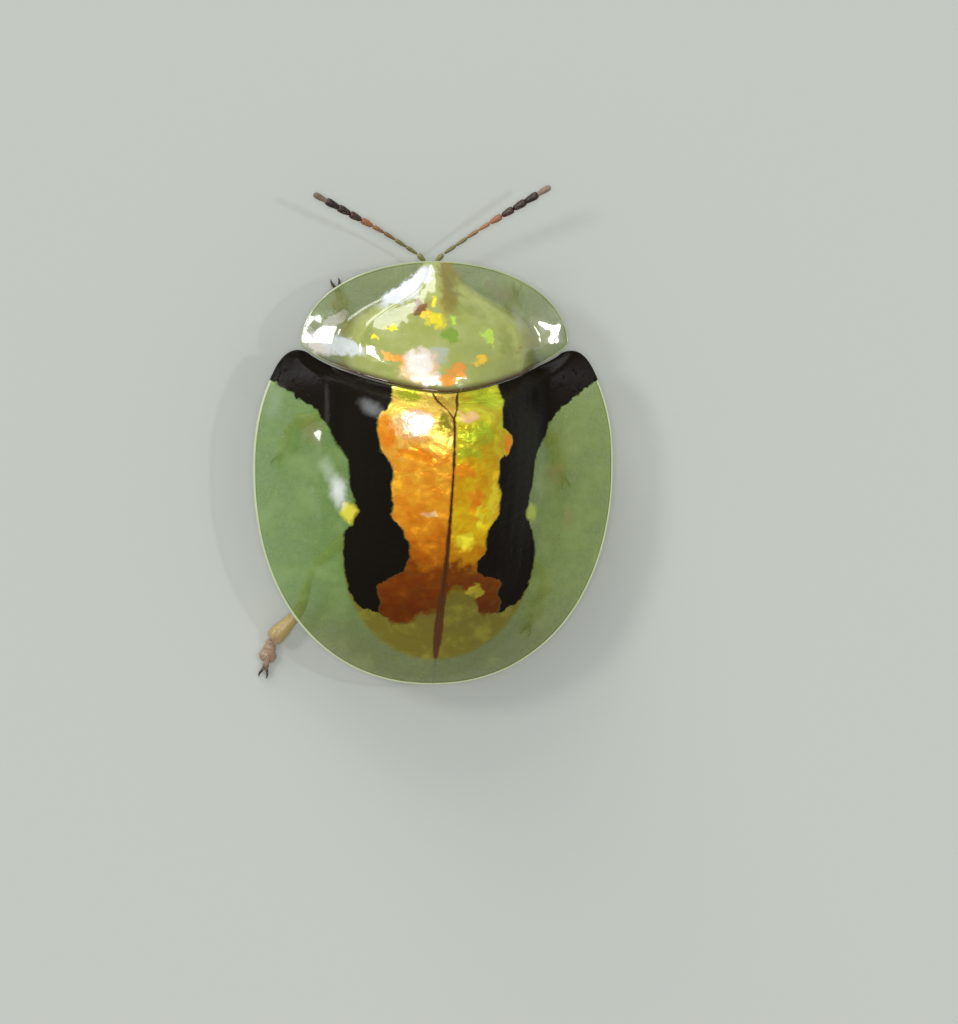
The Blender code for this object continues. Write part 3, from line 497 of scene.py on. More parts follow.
def makePronotumMaterial():
    marks = pronotumMarks
    material, shader, place = newMaterial("pronotum_cuticle", IOR=1.35, Coat_IOR=1.65, Coat_Roughness=0.04)
    axes = addNode("ShaderNodeSeparateXYZ", {0: place})
    x, y = drifted(place, axes[0], axes[1], 3.0, 0.40)
    bell, rim = attributeAt("bell"), attributeAt("rim")
    window = useGroup(windowGroup, {"Place": place, "Tint": marks["window"]})
    mottle = useGroup(cuticleGroup, {"Place": place, "Pits per mm": 8.0, "Pit Size": 0.25})
    dome = painted(
        marks["bellEdge"], (stepped(bell, 0.25, 0.9), marks["bell"]),
        (stepped(mottle["Mottle"], 0.35, 0.7, 0.0, 0.6), marks["bellPale"]),
    )
    onKeel = stepped(y, 7.15, 7.55) * stepped(x, -0.04, 0.10) * stepped(x, 0.46, 0.26)
    # Smears of colour, and painted highlights and painted reflections with them
    smears = [
        (spotAt(x, y, *oval, 0.25 if name in marks["crisp"] else -0.6) * strength, marks[name])
        for name, strength, *oval in marks["smears"]
    ]
    flecks = [(spotAt(x, y, *oval), marks[name]) for name, *oval in marks["flecks"]]
    haze = largest(*[share for share, colour in smears])
    dull = [marks[name] for name in marks["dullFlecks"]]
    metal = largest(*[share for share, colour in flecks if colour not in dull])
    rear = rim * stepped(abs(axes[0]), 2.4, 1.6) * stepped(axes[1], 6.6, 6.4)
    rear = largest(rear, attributeAt("groove") * 0.85)
    colour = painted(
        window["Colour"], (stepped(bell, 0.05, 0.35), dome), (onKeel * 0.8, marks["keel"]), *smears, *flecks,
        (rim * 0.8, marks["rim"]), (rear, marks["rearBorder"]),
    )
    body = between(stepped(bell, 0.05, 0.5), window["Veil"] + 0.66, 0.88)
    feedAll(shader, {
        "Base Color": colour,
        "Metallic": metal * 0.35,
        "Alpha": largest(body, metal, rear, rim, haze) * (1.0 - attributeAt("under") * 0.85),
        "Roughness": between(metal, 0.22, 0.30),
        "Coat Weight": between(stepped(bell, 0.3, 1.0), 1.0, 0.75),
        "Normal": bumped(mottle["Height"] * 0.3, 0.030, 0.8),
    })
    return material


# A pitted material: pits per mm and their size, bump distance and strength, and its colour from the place and mottle
def pittedMaterial(name, pits, pitSize, distance, strength, paint, **settings):
    material, shader, place = newMaterial(name, **settings)
    mottle = useGroup(cuticleGroup, {"Place": place, "Pits per mm": pits, "Pit Size": pitSize})
    normal = bumped(mottle["Height"], distance, strength)
    feedAll(shader, {"Base Color": paint(place, mottle["Mottle"]), "Normal": normal})
    return material


# A material of two tones that a noise mixes
def tonedMaterial(name, scale, dark, light, **settings):
    material, shader, place = newMaterial(name, **settings)
    feed(shader["Base Color"], mixed(noiseAt(place, scale), dark, light))
    return material


def bodyPaint(place, mottle):
    pale = mixed(stepped(mottle, 0.35, 0.7), (0.52, 0.56, 0.16), (0.66, 0.60, 0.22))
    return mixed(attributeAt("groove") * 0.75, pale, (0.26, 0.20, 0.05))


# Along a leg from 0 at the coxa to 1 at the claws, and along an antenna from its root to its tip
legHues = (
    (0.0, (0.42, 0.36, 0.09)), (0.25, (0.50, 0.36, 0.10)), (0.45, (0.46, 0.30, 0.09)), (0.50, (0.16, 0.07, 0.015)),
    (0.55, (0.40, 0.32, 0.10)), (0.72, (0.42, 0.31, 0.10)), (0.78, (0.33, 0.23, 0.14)), (0.92, (0.30, 0.20, 0.13)),
    (0.96, (0.05, 0.022, 0.010)), (1.0, (0.02, 0.010, 0.006)),
)
# The last antenna segment is painted a paler brown, a painted highlight for the shine at the antenna tips
antennaHues = (
    (0.0, (0.20, 0.22, 0.055)), (0.30, (0.20, 0.17, 0.05)), (0.45, (0.30, 0.14, 0.05)), (0.62, (0.34, 0.12, 0.045)),
    (0.68, (0.05, 0.018, 0.010)), (0.80, (0.015, 0.008, 0.006)), (0.94, (0.015, 0.008, 0.006)),
    (1.0, (0.24, 0.17, 0.12)),
)


def legPaint(place, mottle):
    colour = colourRamp(attributeAt("along"), 0.0, 1.0, legHues)
    return mixed(stepped(mottle, 0.55, 0.35), colour, mixed(1.0, colour, (0.55, 0.42, 0.32), "MULTIPLY"))


def antennaPaint(place, mottle):
    colour = colourRamp(attributeAt("along"), 0.0, 1.0, antennaHues)
    return mixed(stepped(mottle, 0.6, 0.3, 0.0, 0.4), colour, (0.03, 0.012, 0.006))


def headPaint(place, mottle):
    axes = addNode("ShaderNodeSeparateXYZ", {0: place})
    pale = mixed(stepped(mottle, 0.4, 0.65), (0.50, 0.40, 0.10), (0.60, 0.46, 0.15))
    brown = stepped(axes[1], 7.66, 7.80) * stepped(axes[2], 0.42, 0.26)
    return mixed(brown * 0.9, pale, (0.16, 0.055, 0.014))


elytraMaterial = makeElytraMaterial()
pronotumMaterial = makePronotumMaterial()
bodyMaterial = pittedMaterial("body_cuticle", 12.0, 0.35, 0.020, 0.6, bodyPaint, Roughness=0.38)
legMaterial = pittedMaterial("leg_cuticle", 16.0, 0.4, 0.012, 0.7, legPaint, Roughness=0.34)
antennaMaterial = pittedMaterial("antenna_cuticle", 20.0, 0.4, 0.010, 0.7, antennaPaint, Roughness=0.42)
headMaterial = pittedMaterial("head_cuticle", 14.0, 0.35, 0.014, 0.7, headPaint, Roughness=0.30)
hairMaterial = tonedMaterial("bristle", 8.0, (0.34, 0.20, 0.10), (0.62, 0.48, 0.30), Roughness=0.4)
eyeMaterial = tonedMaterial(
    "eye_facets", 7.0, (0.004, 0.003, 0.003), (0.035, 0.016, 0.008), Roughness=0.12, Coat_Weight=0.6
)
print("materials made")


# Geometry Nodes trees
def geometry(kind, inputs, key=0, **settings):
    return addNode("GeometryNode" + kind, inputs, key, **settings)


def newGrowth(name, *inputs):
    inputs = [*inputs, ("Material", "Material")]
    return newTree(name, "GeometryNodeTree", inputs, [("Geometry", "Geometry")])


def stored(shape, name, value):
    sockets = {"Geometry": shape, "Name": name, "Value": value}
    return geometry("StoreNamedAttribute", sockets, data_type="FLOAT", domain="POINT")


def circle(sides, radius=1.0):
    return geometry("CurvePrimitiveCircle", {"Resolution": sides, "Radius": radius})


def tubeAlong(line, profile, **more):
    return geometry("CurveToMesh", {"Curve": line, "Profile Curve": profile, "Fill Caps": True, **more})


def smoothed(shape):
    return geometry("SetShadeSmooth", {0: shape})


def dressed(shape, given, result):
    whole = geometry("RealizeInstances", {0: shape})
    feed(result[0], geometry("SetMaterial", {0: whole, "Material": given["Material"]}))


def makeBeadTree():
    tree, given, result = newGrowth("rimBead", ("Line", "Geometry"), ("Radius", "Float", 0.045))
    tube = tubeAlong(given["Line"], circle(12, given["Radius"]))
    dressed(smoothed(stored(tube, "rim", 1.0)), given, result)
    return tree


def makeLimbTree():
    tree, given, result = newGrowth(
        "taperedLimb", ("Line", "Geometry"), ("Steps", "Int", 40), ("Sides", "Int", 18), ("Flatness", "Float", 1.0),
        ("Start", "Float", 0.0), ("End", "Float", 1.0),
    )
    line = geometry("ResampleCurve", {"Curve": given["Line"], "Count": given["Steps"]})
    factor = geometry("SplineParameter", {}, "Factor")
    marked = stored(line, "along", between(factor, given["Start"], given["End"]))
    squash = addNode("ShaderNodeCombineXYZ", {0: 1.0, 1: given["Flatness"], 2: 1.0})
    oval = geometry("Transform", {"Geometry": circle(given["Sides"]), "Scale": squash})
    dressed(smoothed(tubeAlong(marked, oval, Scale=geometry("InputRadius", {}))), given, result)
    return tree


# Antennal segments strung along a curve, each a small vase that widens towards its tip
antennaSizes = {
    "segments": 11,
    "vase": ((0.0, 0.30), (0.06, 0.62), (0.30, 0.82), (0.72, 1.0), (0.92, 0.86), (1.0, 0.34)),
    "lengths": ((0, 1.25), (1, 0.8), (2, 1.0), (6, 0.95), (10, 1.2)),
    "radii": ((0, 0.066), (1, 0.052), (2, 0.040), (5, 0.042), (6, 0.066), (9, 0.078), (10, 0.062)),
    "hairs": {"Per Square mm": 260.0, "Length": 0.045, "Thickness": 0.0028, "Hairy From": 0.45, "Seed": 5},
}


def makeAntennaTree():
    tree, given, result = newGrowth("antennaSegments", ("Line", "Geometry"), ("Segments", "Int", 11))
    count = given["Segments"]
    half = 0.5 / count
    trimmed = geometry("TrimCurve", {"Curve": given["Line"], "Start": half, "End": 1.0 - half}, mode="FACTOR")
    points = geometry("CurveToPoints", {"Curve": trimmed, "Count": count}, "Points")
    index = geometry("InputIndex", {})
    axis = geometry("CurvePrimitiveLine", {"Start": (0, 0, -0.5), "End": (0, 0, 0.5)})
    finer = geometry("ResampleCurve", {"Curve": axis, "Count": 14})
    profile = curved(geometry("SplineParameter", {}, "Factor"), antennaSizes["vase"], (1.0, 1.0))
    bead = smoothed(tubeAlong(finer, circle(16), Scale=profile))
    length = geometry("CurveLength", {0: given["Line"]})
    width = curved(index, antennaSizes["radii"], (10.0, 0.1))
    stretch = curved(index, antennaSizes["lengths"], (10.0, 2.0))
    size = addNode("ShaderNodeCombineXYZ", {0: width, 1: width, 2: length / count * stretch * 1.02})
    marked = stored(points, "along", index / (count - 1.0))
    placed = geometry(
        "InstanceOnPoints", {"Points": marked, "Instance": bead, "Rotation": points["Rotation"], "Scale": size}
    )
    dressed(placed, given, result)
    return tree


# Six-sided facets over an ellipsoid eye, each raised as a small lens
def makeFacetTree():
    tree, given, result = newGrowth(
        "eyeFacets", ("Eye", "Geometry"), ("Fineness", "Int", 5), ("Raise", "Float", 0.05),
        ("Half Sizes", "Vector"), ("Centre", "Vector"),
    )
    ball = geometry("MeshIcoSphere", {"Radius": 1.0, "Subdivisions": given["Fineness"]})
    hexagons = geometry("DualMesh", {0: ball})
    sockets = {"Mesh": hexagons, "Offset Scale": given["Raise"], "Individual": True}
    lens = geometry("ExtrudeMesh", sockets, "Mesh", mode="FACES")
    sockets = {"Geometry": lens, "Selection": lens["Top"], "Scale": 0.62}
    narrowed = geometry("ScaleElements", sockets, domain="FACE")
    sockets = {"Geometry": narrowed, "Scale": given["Half Sizes"], "Translation": given["Centre"]}
    dressed(smoothed(geometry("Transform", sockets)), given, result)
    return tree


# Fine bristles over the faces of a piece, leaning along it
def makeBristleTree():
    tree, given, result = newGrowth(
        "bristles", ("Skin", "Geometry"), ("Per Square mm", "Float", 300.0), ("Length", "Float", 0.07),
        ("Thickness", "Float", 0.004), ("Lean", "Vector", (0, 0, 0)), ("Seed", "Int", 7), ("Hairy From", "Float", 0.0),
    )
    along = geometry("InputNamedAttribute", {"Name": "along"}, data_type="FLOAT")
    hairy = addNode(
        "FunctionNodeCompare", {0: along, 1: given["Hairy From"]}, data_type="FLOAT", operation="GREATER_THAN"
    )
    spread = geometry("DistributePointsOnFaces", {
        "Mesh": given["Skin"], "Selection": hairy, "Density": given["Per Square mm"], "Seed": given["Seed"],
    }, "Points")
    leaning = addNode("ShaderNodeVectorMath", {0: spread["Normal"], 1: given["Lean"]}, operation="ADD")
    turned = addNode("FunctionNodeAlignRotationToVector", {"Vector": leaning}, axis="Z")
    cone = geometry("MeshCone", {
        "Vertices": 5, "Side Segments": 1, "Radius Top": 0.0, "Radius Bottom": given["Thickness"],
        "Depth": given["Length"],
    })
    size = addNode("FunctionNodeRandomValue", {2: 0.6, 3: 1.15, "Seed": given["Seed"]}, 1, data_type="FLOAT")
    sockets = {"Points": spread, "Instance": cone, "Rotation": turned, "Scale": size}
    dressed(geometry("InstanceOnPoints", sockets), given, result)
    return tree


beadTree = makeBeadTree()
limbTree = makeLimbTree()
antennaTree = makeAntennaTree()
facetTree = makeFacetTree()
bristleTree = makeBristleTree()


# An object that carries a mesh or curve while its modifiers run
def newSource(data):
    source = bpy.data.objects.new("source", data)
    workbench.objects.link(source)
    return source


# The plain mesh that comes out of an object's modifiers
def baked(source):
    bpy.context.view_layer.update()
    mesh = bpy.data.meshes.new_from_object(source.evaluated_get(bpy.context.evaluated_depsgraph_get()))
    bpy.data.objects.remove(source)
    return mesh


# Runs a Geometry Nodes tree on a curve or mesh
def grown(data, tree, values):
    source = newSource(data)
    modifier = source.modifiers.new("grow", "NODES")
    modifier.node_group = tree
    for socket in tree.interface.items_tree:
        if socket.in_out == "INPUT" and socket.name in values:
            modifier[socket.identifier] = values[socket.name]
    return baked(source)


def bristled(skin, values, lean):
    return grown(skin.copy(), bristleTree, {**values, "Lean": tuple(lean), "Material": hairMaterial})


def curveThrough(points, radii=None, cyclic=False, smooth=False):
    curve = bpy.data.curves.new("line", "CURVE")
    curve.dimensions = "3D"
    spline = curve.splines.new("NURBS" if smooth else "POLY")
    spline.points.add(len(points) - 1)
    for knot, point, radius in zip(spline.points, points, radii or [1.0] * len(points)):
        knot.co = (*point, 1)
        knot.radius = radius
    spline.use_cyclic_u = cyclic
    if smooth:
        spline.order_u = 3
        spline.use_endpoint_u = True
        spline.resolution_u = 8
    return curve


def meshOf(bm):
    mesh = bpy.data.meshes.new("part")
    bm.to_mesh(mesh)
    bm.free()
    return mesh


# Faces between neighbouring rows of vertices; rings also close from their last vertex to their first
def addFaces(bm, rows, rings=False):
    for first, second in zip(rows, rows[1:]):
        for k in range(0 if rings else 1, len(first)):
            bm.faces.new((first[k - 1], first[k], second[k], second[k - 1]))


def joined(meshes):
    bm = bmesh.new()
    for layer in ("under", "rim", "bell", "along", "groove"):
        bm.verts.layers.float.new(layer)
    for mesh in meshes:
        bm.from_mesh(mesh)
        bpy.data.meshes.remove(mesh)
    return meshOf(bm)


def keptAbove(mesh, z):
    for vert in mesh.vertices:
        vert.co.z = max(vert.co.z, z)


def mirrored(point, side):
    return Vector((side * point[0], *point[1:]))


# Puts a finished mesh into the frame, on its body, for its nodes
def finishPiece(name, mesh, material, slot, *nodes):
    mesh.transform(toFrame)
    mesh.materials.clear()
    mesh.materials.append(material)
    for face in mesh.polygons:
        face.use_smooth = True
    mesh.set_sharp_from_angle(angle=math.radians(50))
    mesh.name = name
    piece = bpy.data.objects.new(name, mesh)
    bpy.context.scene.collection.objects.link(piece)
    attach(piece, "root")
    if nodes:
        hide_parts(*nodes)
    return piece


sides = {"left": -1, "right": 1}

# Plan and height of the shell, with the plates as thin as real cuticle
pronotumShape = {
    "halfWidth": 2.66,
    "widestY": 6.70,
    "frontY": 8.30,
    "frontPower": 2.05,
    "rearReach": 0.92,
    "rearPower": 1.5,
    "marginInnerZ": 1.33,
    "rimZ": 1.14,
    "bellHeight": 1.20,
    "bellHalfWidth": 1.42,
    "shoulderY": 7.46,
    "shoulderSoftness": 0.20,
    "keelHalfWidth": 0.10,
    "crownDrop": 0.45,
    "flankFront": 0.27,
    "flankBack": 0.58,
    "thickness": 0.050,
    "beadRadius": 0.027,
    "across": 150,
    "acrossShares": (0.0, 5 / 15, 9 / 15, 1.0),  # of the columns, up to the crown, the flank and the margin
    "lengthways": 96,
    "planRounds": 40,
    "foilHeight": 0.012,
    "foilWaves": ((1.0, 3.6, 3.6, 9.0), (0.5, 8, 8, 1.0)),
    "marginHeight": 0.022,
    "marginWaves": ((1.0, 1.3, 1.3, 3.0), (0.42, 3.4, 3.4, 6.0)),
    "rearBorder": 0.13,
    "rearBorderEnd": (2.5, 0.6),  # half width, and how far it fades
}

elytraShape = {
    "halfWidth": 3.58,
    "widestY": 4.30,
    "frontReach": 3.60,
    "power": 2.2,
    "cornerTip": (2.92, 6.72),
    "baseEndX": 2.50,
    "cornerRimY": 6.10,
    "discHalfWidth": 1.93,
    "discSpread": 0.13,
    "discSpreadLength": 1.60,
    "discRearY": 2.60,
    "discRearReach": 2.12,
    "discEdgeZ": 1.38,
    "discEdgeRise": 0.22,
    "discEdgeSlopes": ((0.70, 2.60), (6.10, 4.90)),  # where the edge climbs behind, and where it climbs in front
    "rimZ": 1.14,
    "discPower": 2.0,
    "humpHeight": 1.75,
    "rearHeight": 0.62,
    "humpY": 5.00,
    "rearSlopeY": 1.00,
    "baseDip": 0.28,
    "baseDipLength": 0.55,
    "baseGap": 0.03,
    "lipLength": 0.30,
    "lipDrop": 0.03,
    "foldSoftness": 0.12,
    "foot": 0.34,  # rounding where the disc meets the margin
    "footEnd": 1.5,
    "sutureGap": 0.004,
    "thickness": 0.050,
    "beadRadius": 0.032,
    "acrossDisc": 74,
    "acrossMargin": 36,
    "lengthways": 160,
    "striae": 9,
    "pitSpacing": 0.19,
    "pitRadius": 0.045,
    "pitDepth": 0.010,
    "foilHeight": 0.014,
    "foilWaves": ((1.0, 3.2, 4.6, 7.0), (0.55, 7, 10, 4.0)),
    "foilEnd": (0.72, 0.1),  # share of the disc, and how far it fades
    "marginHeight": 0.018,
    "marginWaves": ((1.0, 1.1, 1.1, 5.0), (0.3, 3.1, 3.1, 2.0)),
}

shield, wing = SimpleNamespace(**pronotumShape), SimpleNamespace(**elytraShape)


def smoothStep(t):
    t = min(1.0, max(0.0, t))
    return t * t * (3 - 2 * t)


def softMax(first, second, width):
    share = min(1.0, max(0.0, 0.5 + 0.5 * (first - second) / width))
    return second + (first - second) * share + width * share * (1 - share)


def levelAt(x, y, halfWidth, reach, power):
    return ((abs(x) / halfWidth) ** power + (abs(y) / reach) ** power) ** (1 / power)


# How far an oval of a power reaches at a share of its half width
def reachAt(share, power):
    return max(0.0, 1 - share**power) ** (1 / power)


# Layers of noise in plan, each as strength, scales across and lengthways, and level
def wavesAt(x, y, layers):
    return sum(strength * noise.noise(Vector((x * wide, y * long, z))) for strength, wide, long, z in layers)


def pronotumRearY(x, gap=0.0):
    share = abs(x) / (shield.halfWidth + gap)
    return shield.widestY - (shield.rearReach + gap) * reachAt(share, shield.rearPower)


def pronotumFrontY(x):
    share = abs(x) / shield.halfWidth
    return shield.widestY + (shield.frontY - shield.widestY) * reachAt(share, shield.frontPower)


def bellHalfWidth(y):
    past = math.exp((y - shield.shoulderY) / shield.shoulderSoftness)
    return shield.keelHalfWidth + shield.bellHalfWidth / (1 + past)


def flankWidth(y):
    share = smoothStep((shield.frontY - y) / (shield.frontY - shield.shoulderY))
    return shield.flankFront + (shield.flankBack - shield.flankFront) * share


def bellShare(x, y):
    return 1 - smoothStep((abs(x) - bellHalfWidth(y)) / flankWidth(y))


def pronotumHeight(x, y):
    rear = shield.widestY - shield.rearReach
    height = shield.bellHeight * min(1.0, max(0.0, (shield.frontY - y) / (shield.frontY - rear)))
    rise = height * (1 - shield.crownDrop * min(1.0, abs(x) / bellHalfWidth(y)) ** 2) * bellShare(x, y)
    ahead = y - shield.widestY
    reach, power = shield.rearReach, shield.rearPower
    if ahead > 0:
        reach, power = shield.frontY - shield.widestY, shield.frontPower
    outward = levelAt(x, ahead, shield.halfWidth, reach, power)
    return shield.marginInnerZ - (shield.marginInnerZ - shield.rimZ) * min(1.0, outward) ** 3 + rise


def pronotumSurface(x, y):
    bell = bellShare(x, y)
    wave = wavesAt(x, y, shield.marginWaves) * (shield.marginHeight * (1 - bell))
    return pronotumHeight(x, y) + wave + wavesAt(x, y, shield.foilWaves) * shield.foilHeight * bell


def elytraReach(y):
    return wing.frontReach if y > wing.widestY else wing.widestY


def discHalfWidthAt(y):
    return wing.discHalfWidth + wing.discSpread * smoothStep((y - wing.discRearY) / wing.discSpreadLength)


def elytraDiscLevel(x, y):
    if y < wing.discRearY:
        return levelAt(x, y - wing.discRearY, wing.discHalfWidth, wing.discRearReach, 2)
    return abs(x) / discHalfWidthAt(y)


def elytraHeight(x, y):
    disc = elytraDiscLevel(x, y)
    past = (disc - 1 + math.hypot(disc - 1, wing.foldSoftness)) / 2
    rim = levelAt(x, y - wing.widestY, wing.halfWidth, elytraReach(y), wing.power)
    outward = past / (past + max(1 - rim, 0.0) * 2 + 1e-9)
    climb = math.prod(smoothStep((y - start) / (end - start)) for start, end in wing.discEdgeSlopes)
    edgeZ = wing.discEdgeZ + wing.discEdgeRise * climb
    margin = edgeZ + (wing.rimZ - edgeZ) * outward
    back = smoothStep((wing.humpY - y) / (wing.humpY - wing.rearSlopeY))
    crest = wing.humpHeight + (wing.rearHeight - wing.humpHeight) * back
    behind = pronotumRearY(x, wing.baseGap) - y
    crest *= 1 - wing.baseDip * (1 - smoothStep(behind / wing.baseDipLength))
    dome = edgeZ + crest * (1 - disc**wing.discPower)
    height = softMax(dome, margin, wing.foot) if disc < wing.footEnd else margin
    lip = pronotumHeight(x, pronotumRearY(x)) - wing.lipDrop
    return lip + (height - lip) * smoothStep(behind / wing.lipLength)


# Pits stand in rows along the disc, and between the bands the surface is crinkled like foil
def elytraSurface(x, y):
    disc, height = elytraDiscLevel(x, y), elytraHeight(x, y)
    if disc > 1:
        return height + wavesAt(x, y, wing.marginWaves) * wing.marginHeight * min(1.0, (disc - 1) * 5)
    row = disc * wing.striae
    offRow = (row - math.floor(row) - 0.5) * wing.discHalfWidth / wing.striae
    sway = 0.2 * noise.noise(Vector((math.floor(row), y, 0)))
    step = y / wing.pitSpacing + 0.5 * (math.floor(row) % 2) + sway
    offStep = (step - math.floor(step) - 0.5) * wing.pitSpacing
    pit = math.exp(-(offRow**2 + offStep**2) / wing.pitRadius**2)
    foil = smoothStep((wing.foilEnd[0] - disc) / wing.foilEnd[1])
    crinkle = wavesAt(x, y, wing.foilWaves) * wing.foilHeight * (0.3 + 0.7 * foil)
    inner = smoothStep((1 - disc) / 0.08) * smoothStep((pronotumRearY(x) - y) / 0.3)
    return height + inner * (crinkle - pit * wing.pitDepth)


# The point at each share of the way along a line of points
def measured(points):
    marks = [0.0]
    for start, end in zip(points, points[1:]):
        marks.append(marks[-1] + (end - start).length)

    def at(share):
        left = min(max(share, 0.0), 1.0) * marks[-1]
        k = min(max(bisect.bisect_right(marks, left) - 1, 0), len(points) - 2)
        length = marks[k + 1] - marks[k]
        return points[k].lerp(points[k + 1], (left - marks[k]) / length if length else 0.0)

    return at


def elytraRimPoint(y, inset):
    share = abs(y - wing.widestY) / (elytraReach(y) - inset)
    return Vector((max((wing.halfWidth - inset) * reachAt(share, wing.power), wing.sutureGap), y))


# From the end of the base round the humeral corner and the rim to the apex
def elytraRimLine(inset):
    shares = [k / 48 for k in range(49)]
    baseEnd = Vector((wing.baseEndX, pronotumRearY(wing.baseEndX, wing.baseGap) - inset))
    tip = Vector(wing.cornerTip) - Vector((inset, inset)) * 0.8
    rimStart = elytraRimPoint(wing.cornerRimY, inset)
    corner = [baseEnd * (1 - t) ** 2 + tip * 2 * t * (1 - t) + rimStart * t**2 for t in shares]
    front = [wing.widestY + (wing.cornerRimY - wing.widestY) * (1 - t) for t in shares[1:]]
    rear = [wing.widestY - (wing.widestY - inset) * math.sin(math.pi / 2 * t) for t in shares[1:]]
    return corner, [elytraRimPoint(y, inset) for y in front + rear]


def discEdgePoint(share):
    ahead = pronotumRearY(wing.discHalfWidth + wing.discSpread, wing.baseGap) - wing.discRearY
    straight = ahead / (ahead + wing.discRearReach * 1.25)
    if share < straight:
        y = wing.discRearY + ahead * (1 - share / straight)
        return Vector((discHalfWidthAt(y), y))
    turn = math.pi / 2 * (share - straight) / (1 - straight)
    x = max(wing.discHalfWidth * math.cos(turn), wing.sutureGap)
    return Vector((x, wing.discRearY - wing.discRearReach * math.sin(turn)))


# Rows of plan points of a right elytron, from the suture out to the rim
def elytronRows(corner, rim):
    middle = len(corner) // 2
    discEnd = wing.discHalfWidth + wing.discSpread

    def basePoints(start, end):
        xs = [start + (end - start) * k / 40 for k in range(41)]
        return [Vector((x, pronotumRearY(x, wing.baseGap))) for x in xs]

    innerBase = measured(basePoints(wing.sutureGap, discEnd))
    outerBase = measured(basePoints(discEnd, wing.baseEndX) + corner[1 : middle + 1])
    rimAt = measured(corner[middle:] + rim)
    top, rear = innerBase(0), discEdgePoint(1)
    firstEdge, firstRim = discEdgePoint(0), rimAt(0)
    inner = [k / wing.acrossDisc for k in range(wing.acrossDisc + 1)]
    outer = [k / wing.acrossMargin for k in range(1, wing.acrossMargin + 1)]
    rows = []
    for v in [k / wing.lengthways for k in range(wing.lengthways + 1)]:
        edge, rimPoint, seam = discEdgePoint(v), rimAt(v), top.lerp(rear, v)
        pull = (1 - v) ** 2
        row = [seam.lerp(edge, u) + (innerBase(u) - top.lerp(firstEdge, u)) * pull for u in inner]
        row += [edge.lerp(rimPoint, u) + (outerBase(u) - firstEdge.lerp(firstRim, u)) * pull for u in outer]
        rows.append(row)
    return rows


# A closed thin plate: a top surface over rows of plan points, and its underside one thickness below it
def plateMesh(rows, surface, thickness, side=1, **shares):
    bm = bmesh.new()
    layers = {name: bm.verts.layers.float.new(name) for name in ("under", "rim", "bell", "groove")}
    upper = [[bm.verts.new((side * p.x, p.y, surface(side * p.x, p.y))) for p in row] for row in rows]
    addFaces(bm, upper)
    bmesh.ops.recalc_face_normals(bm, faces=bm.faces)
    bm.normal_update()
    down = -1 if upper[len(upper) // 2][len(upper[0]) // 2].normal.z > 0 else 1
    lower = [[bm.verts.new(vert.co + vert.normal * thickness * down) for vert in row] for row in upper]
    addFaces(bm, lower)
    edges = [
        grid[0] + [row[-1] for row in grid[1:]] + grid[-1][-2::-1] + [row[0] for row in grid[-2:0:-1]]
        for grid in (upper, lower)
    ]
    addFaces(bm, edges, rings=True)
    for row in lower:
        for vert in row:
            vert[layers["under"]] = 1.0
    for name, shareAt in shares.items():
        for vert in bm.verts:
            vert[layers[name]] = shareAt(vert.co.x, vert.co.y)
    bmesh.ops.remove_doubles(bm, verts=bm.verts, dist=weld)
    bmesh.ops.recalc_face_normals(bm, faces=bm.faces)
    return meshOf(bm)


# A plate with a rolled bead along an outline of plan points
def beadedPlate(form, rows, outline, surface, side=1, cyclic=False, **shares):
    plate = plateMesh(rows, surface, form.thickness, side, **shares)
    line = [Vector((side * p.x, p.y, surface(side * p.x, p.y) - form.thickness / 2)) for p in outline]
    return joined([plate, grown(curveThrough(line, cyclic=cyclic), beadTree, {"Radius": form.beadRadius})])


def makeElytra():
    corner, rim = elytraRimLine(wing.beadRadius)
    rows = elytronRows(corner, rim)
    for name, side in sides.items():
        mesh = beadedPlate(wing, rows, corner + rim[1:], elytraSurface, side)
        finishPiece("elytron_shell_" + name, mesh, elytraMaterial, "gold_cuticle", "elytron_" + name)


def makePronotum():
    inset, shares = shield.beadRadius, shield.acrossShares
    halfWidth = shield.halfWidth - inset
    grow = shield.halfWidth / halfWidth

    def planPoint(u, v):
        across = abs(2 * u - 1)
        y = shield.widestY
        k = max(i for i in range(3) if across >= shares[i])
        share = (across - shares[k]) / (shares[k + 1] - shares[k])
        if k == 2:
            share = math.sin(share * math.pi / 2)
        for _ in range(shield.planRounds):
            crown = bellHalfWidth(y)
            stops = (0, crown, crown + flankWidth(y), halfWidth)
            x = stops[k] + (stops[k + 1] - stops[k]) * share
            front = max(pronotumFrontY(x * grow) - inset, shield.widestY)
            rear = min(pronotumRearY(x * grow) + inset, shield.widestY)
            y = (y + front + (rear - front) * v) / 2
        return Vector((math.copysign(x, 2 * u - 1), y))

    def rearBorder(x, y):
        behind = 1 - (y - pronotumRearY(x) - inset) / shield.rearBorder
        halfBorder, fade = shield.rearBorderEnd
        return smoothStep(behind) * smoothStep((halfBorder - abs(x)) / fade)

    columns = [k / shield.across for k in range(shield.across + 1)]
    rows = [[planPoint(u, k / shield.lengthways) for u in columns] for k in range(shield.lengthways + 1)]
    outline = rows[0] + rows[-1][-2:0:-1]
    mesh = beadedPlate(shield, rows, outline, pronotumSurface, cyclic=True, bell=bellShare, groove=rearBorder)
    finishPiece("pronotum_shell", mesh, pronotumMaterial, "clear_cuticle", "pronotum")


scutellumShape = {
    "halfWidth": 0.23, "length": 0.40, "proud": 0.03, "thickness": 0.05, "steps": 16, "colour": (0.86, 0.70, 0.10),
}


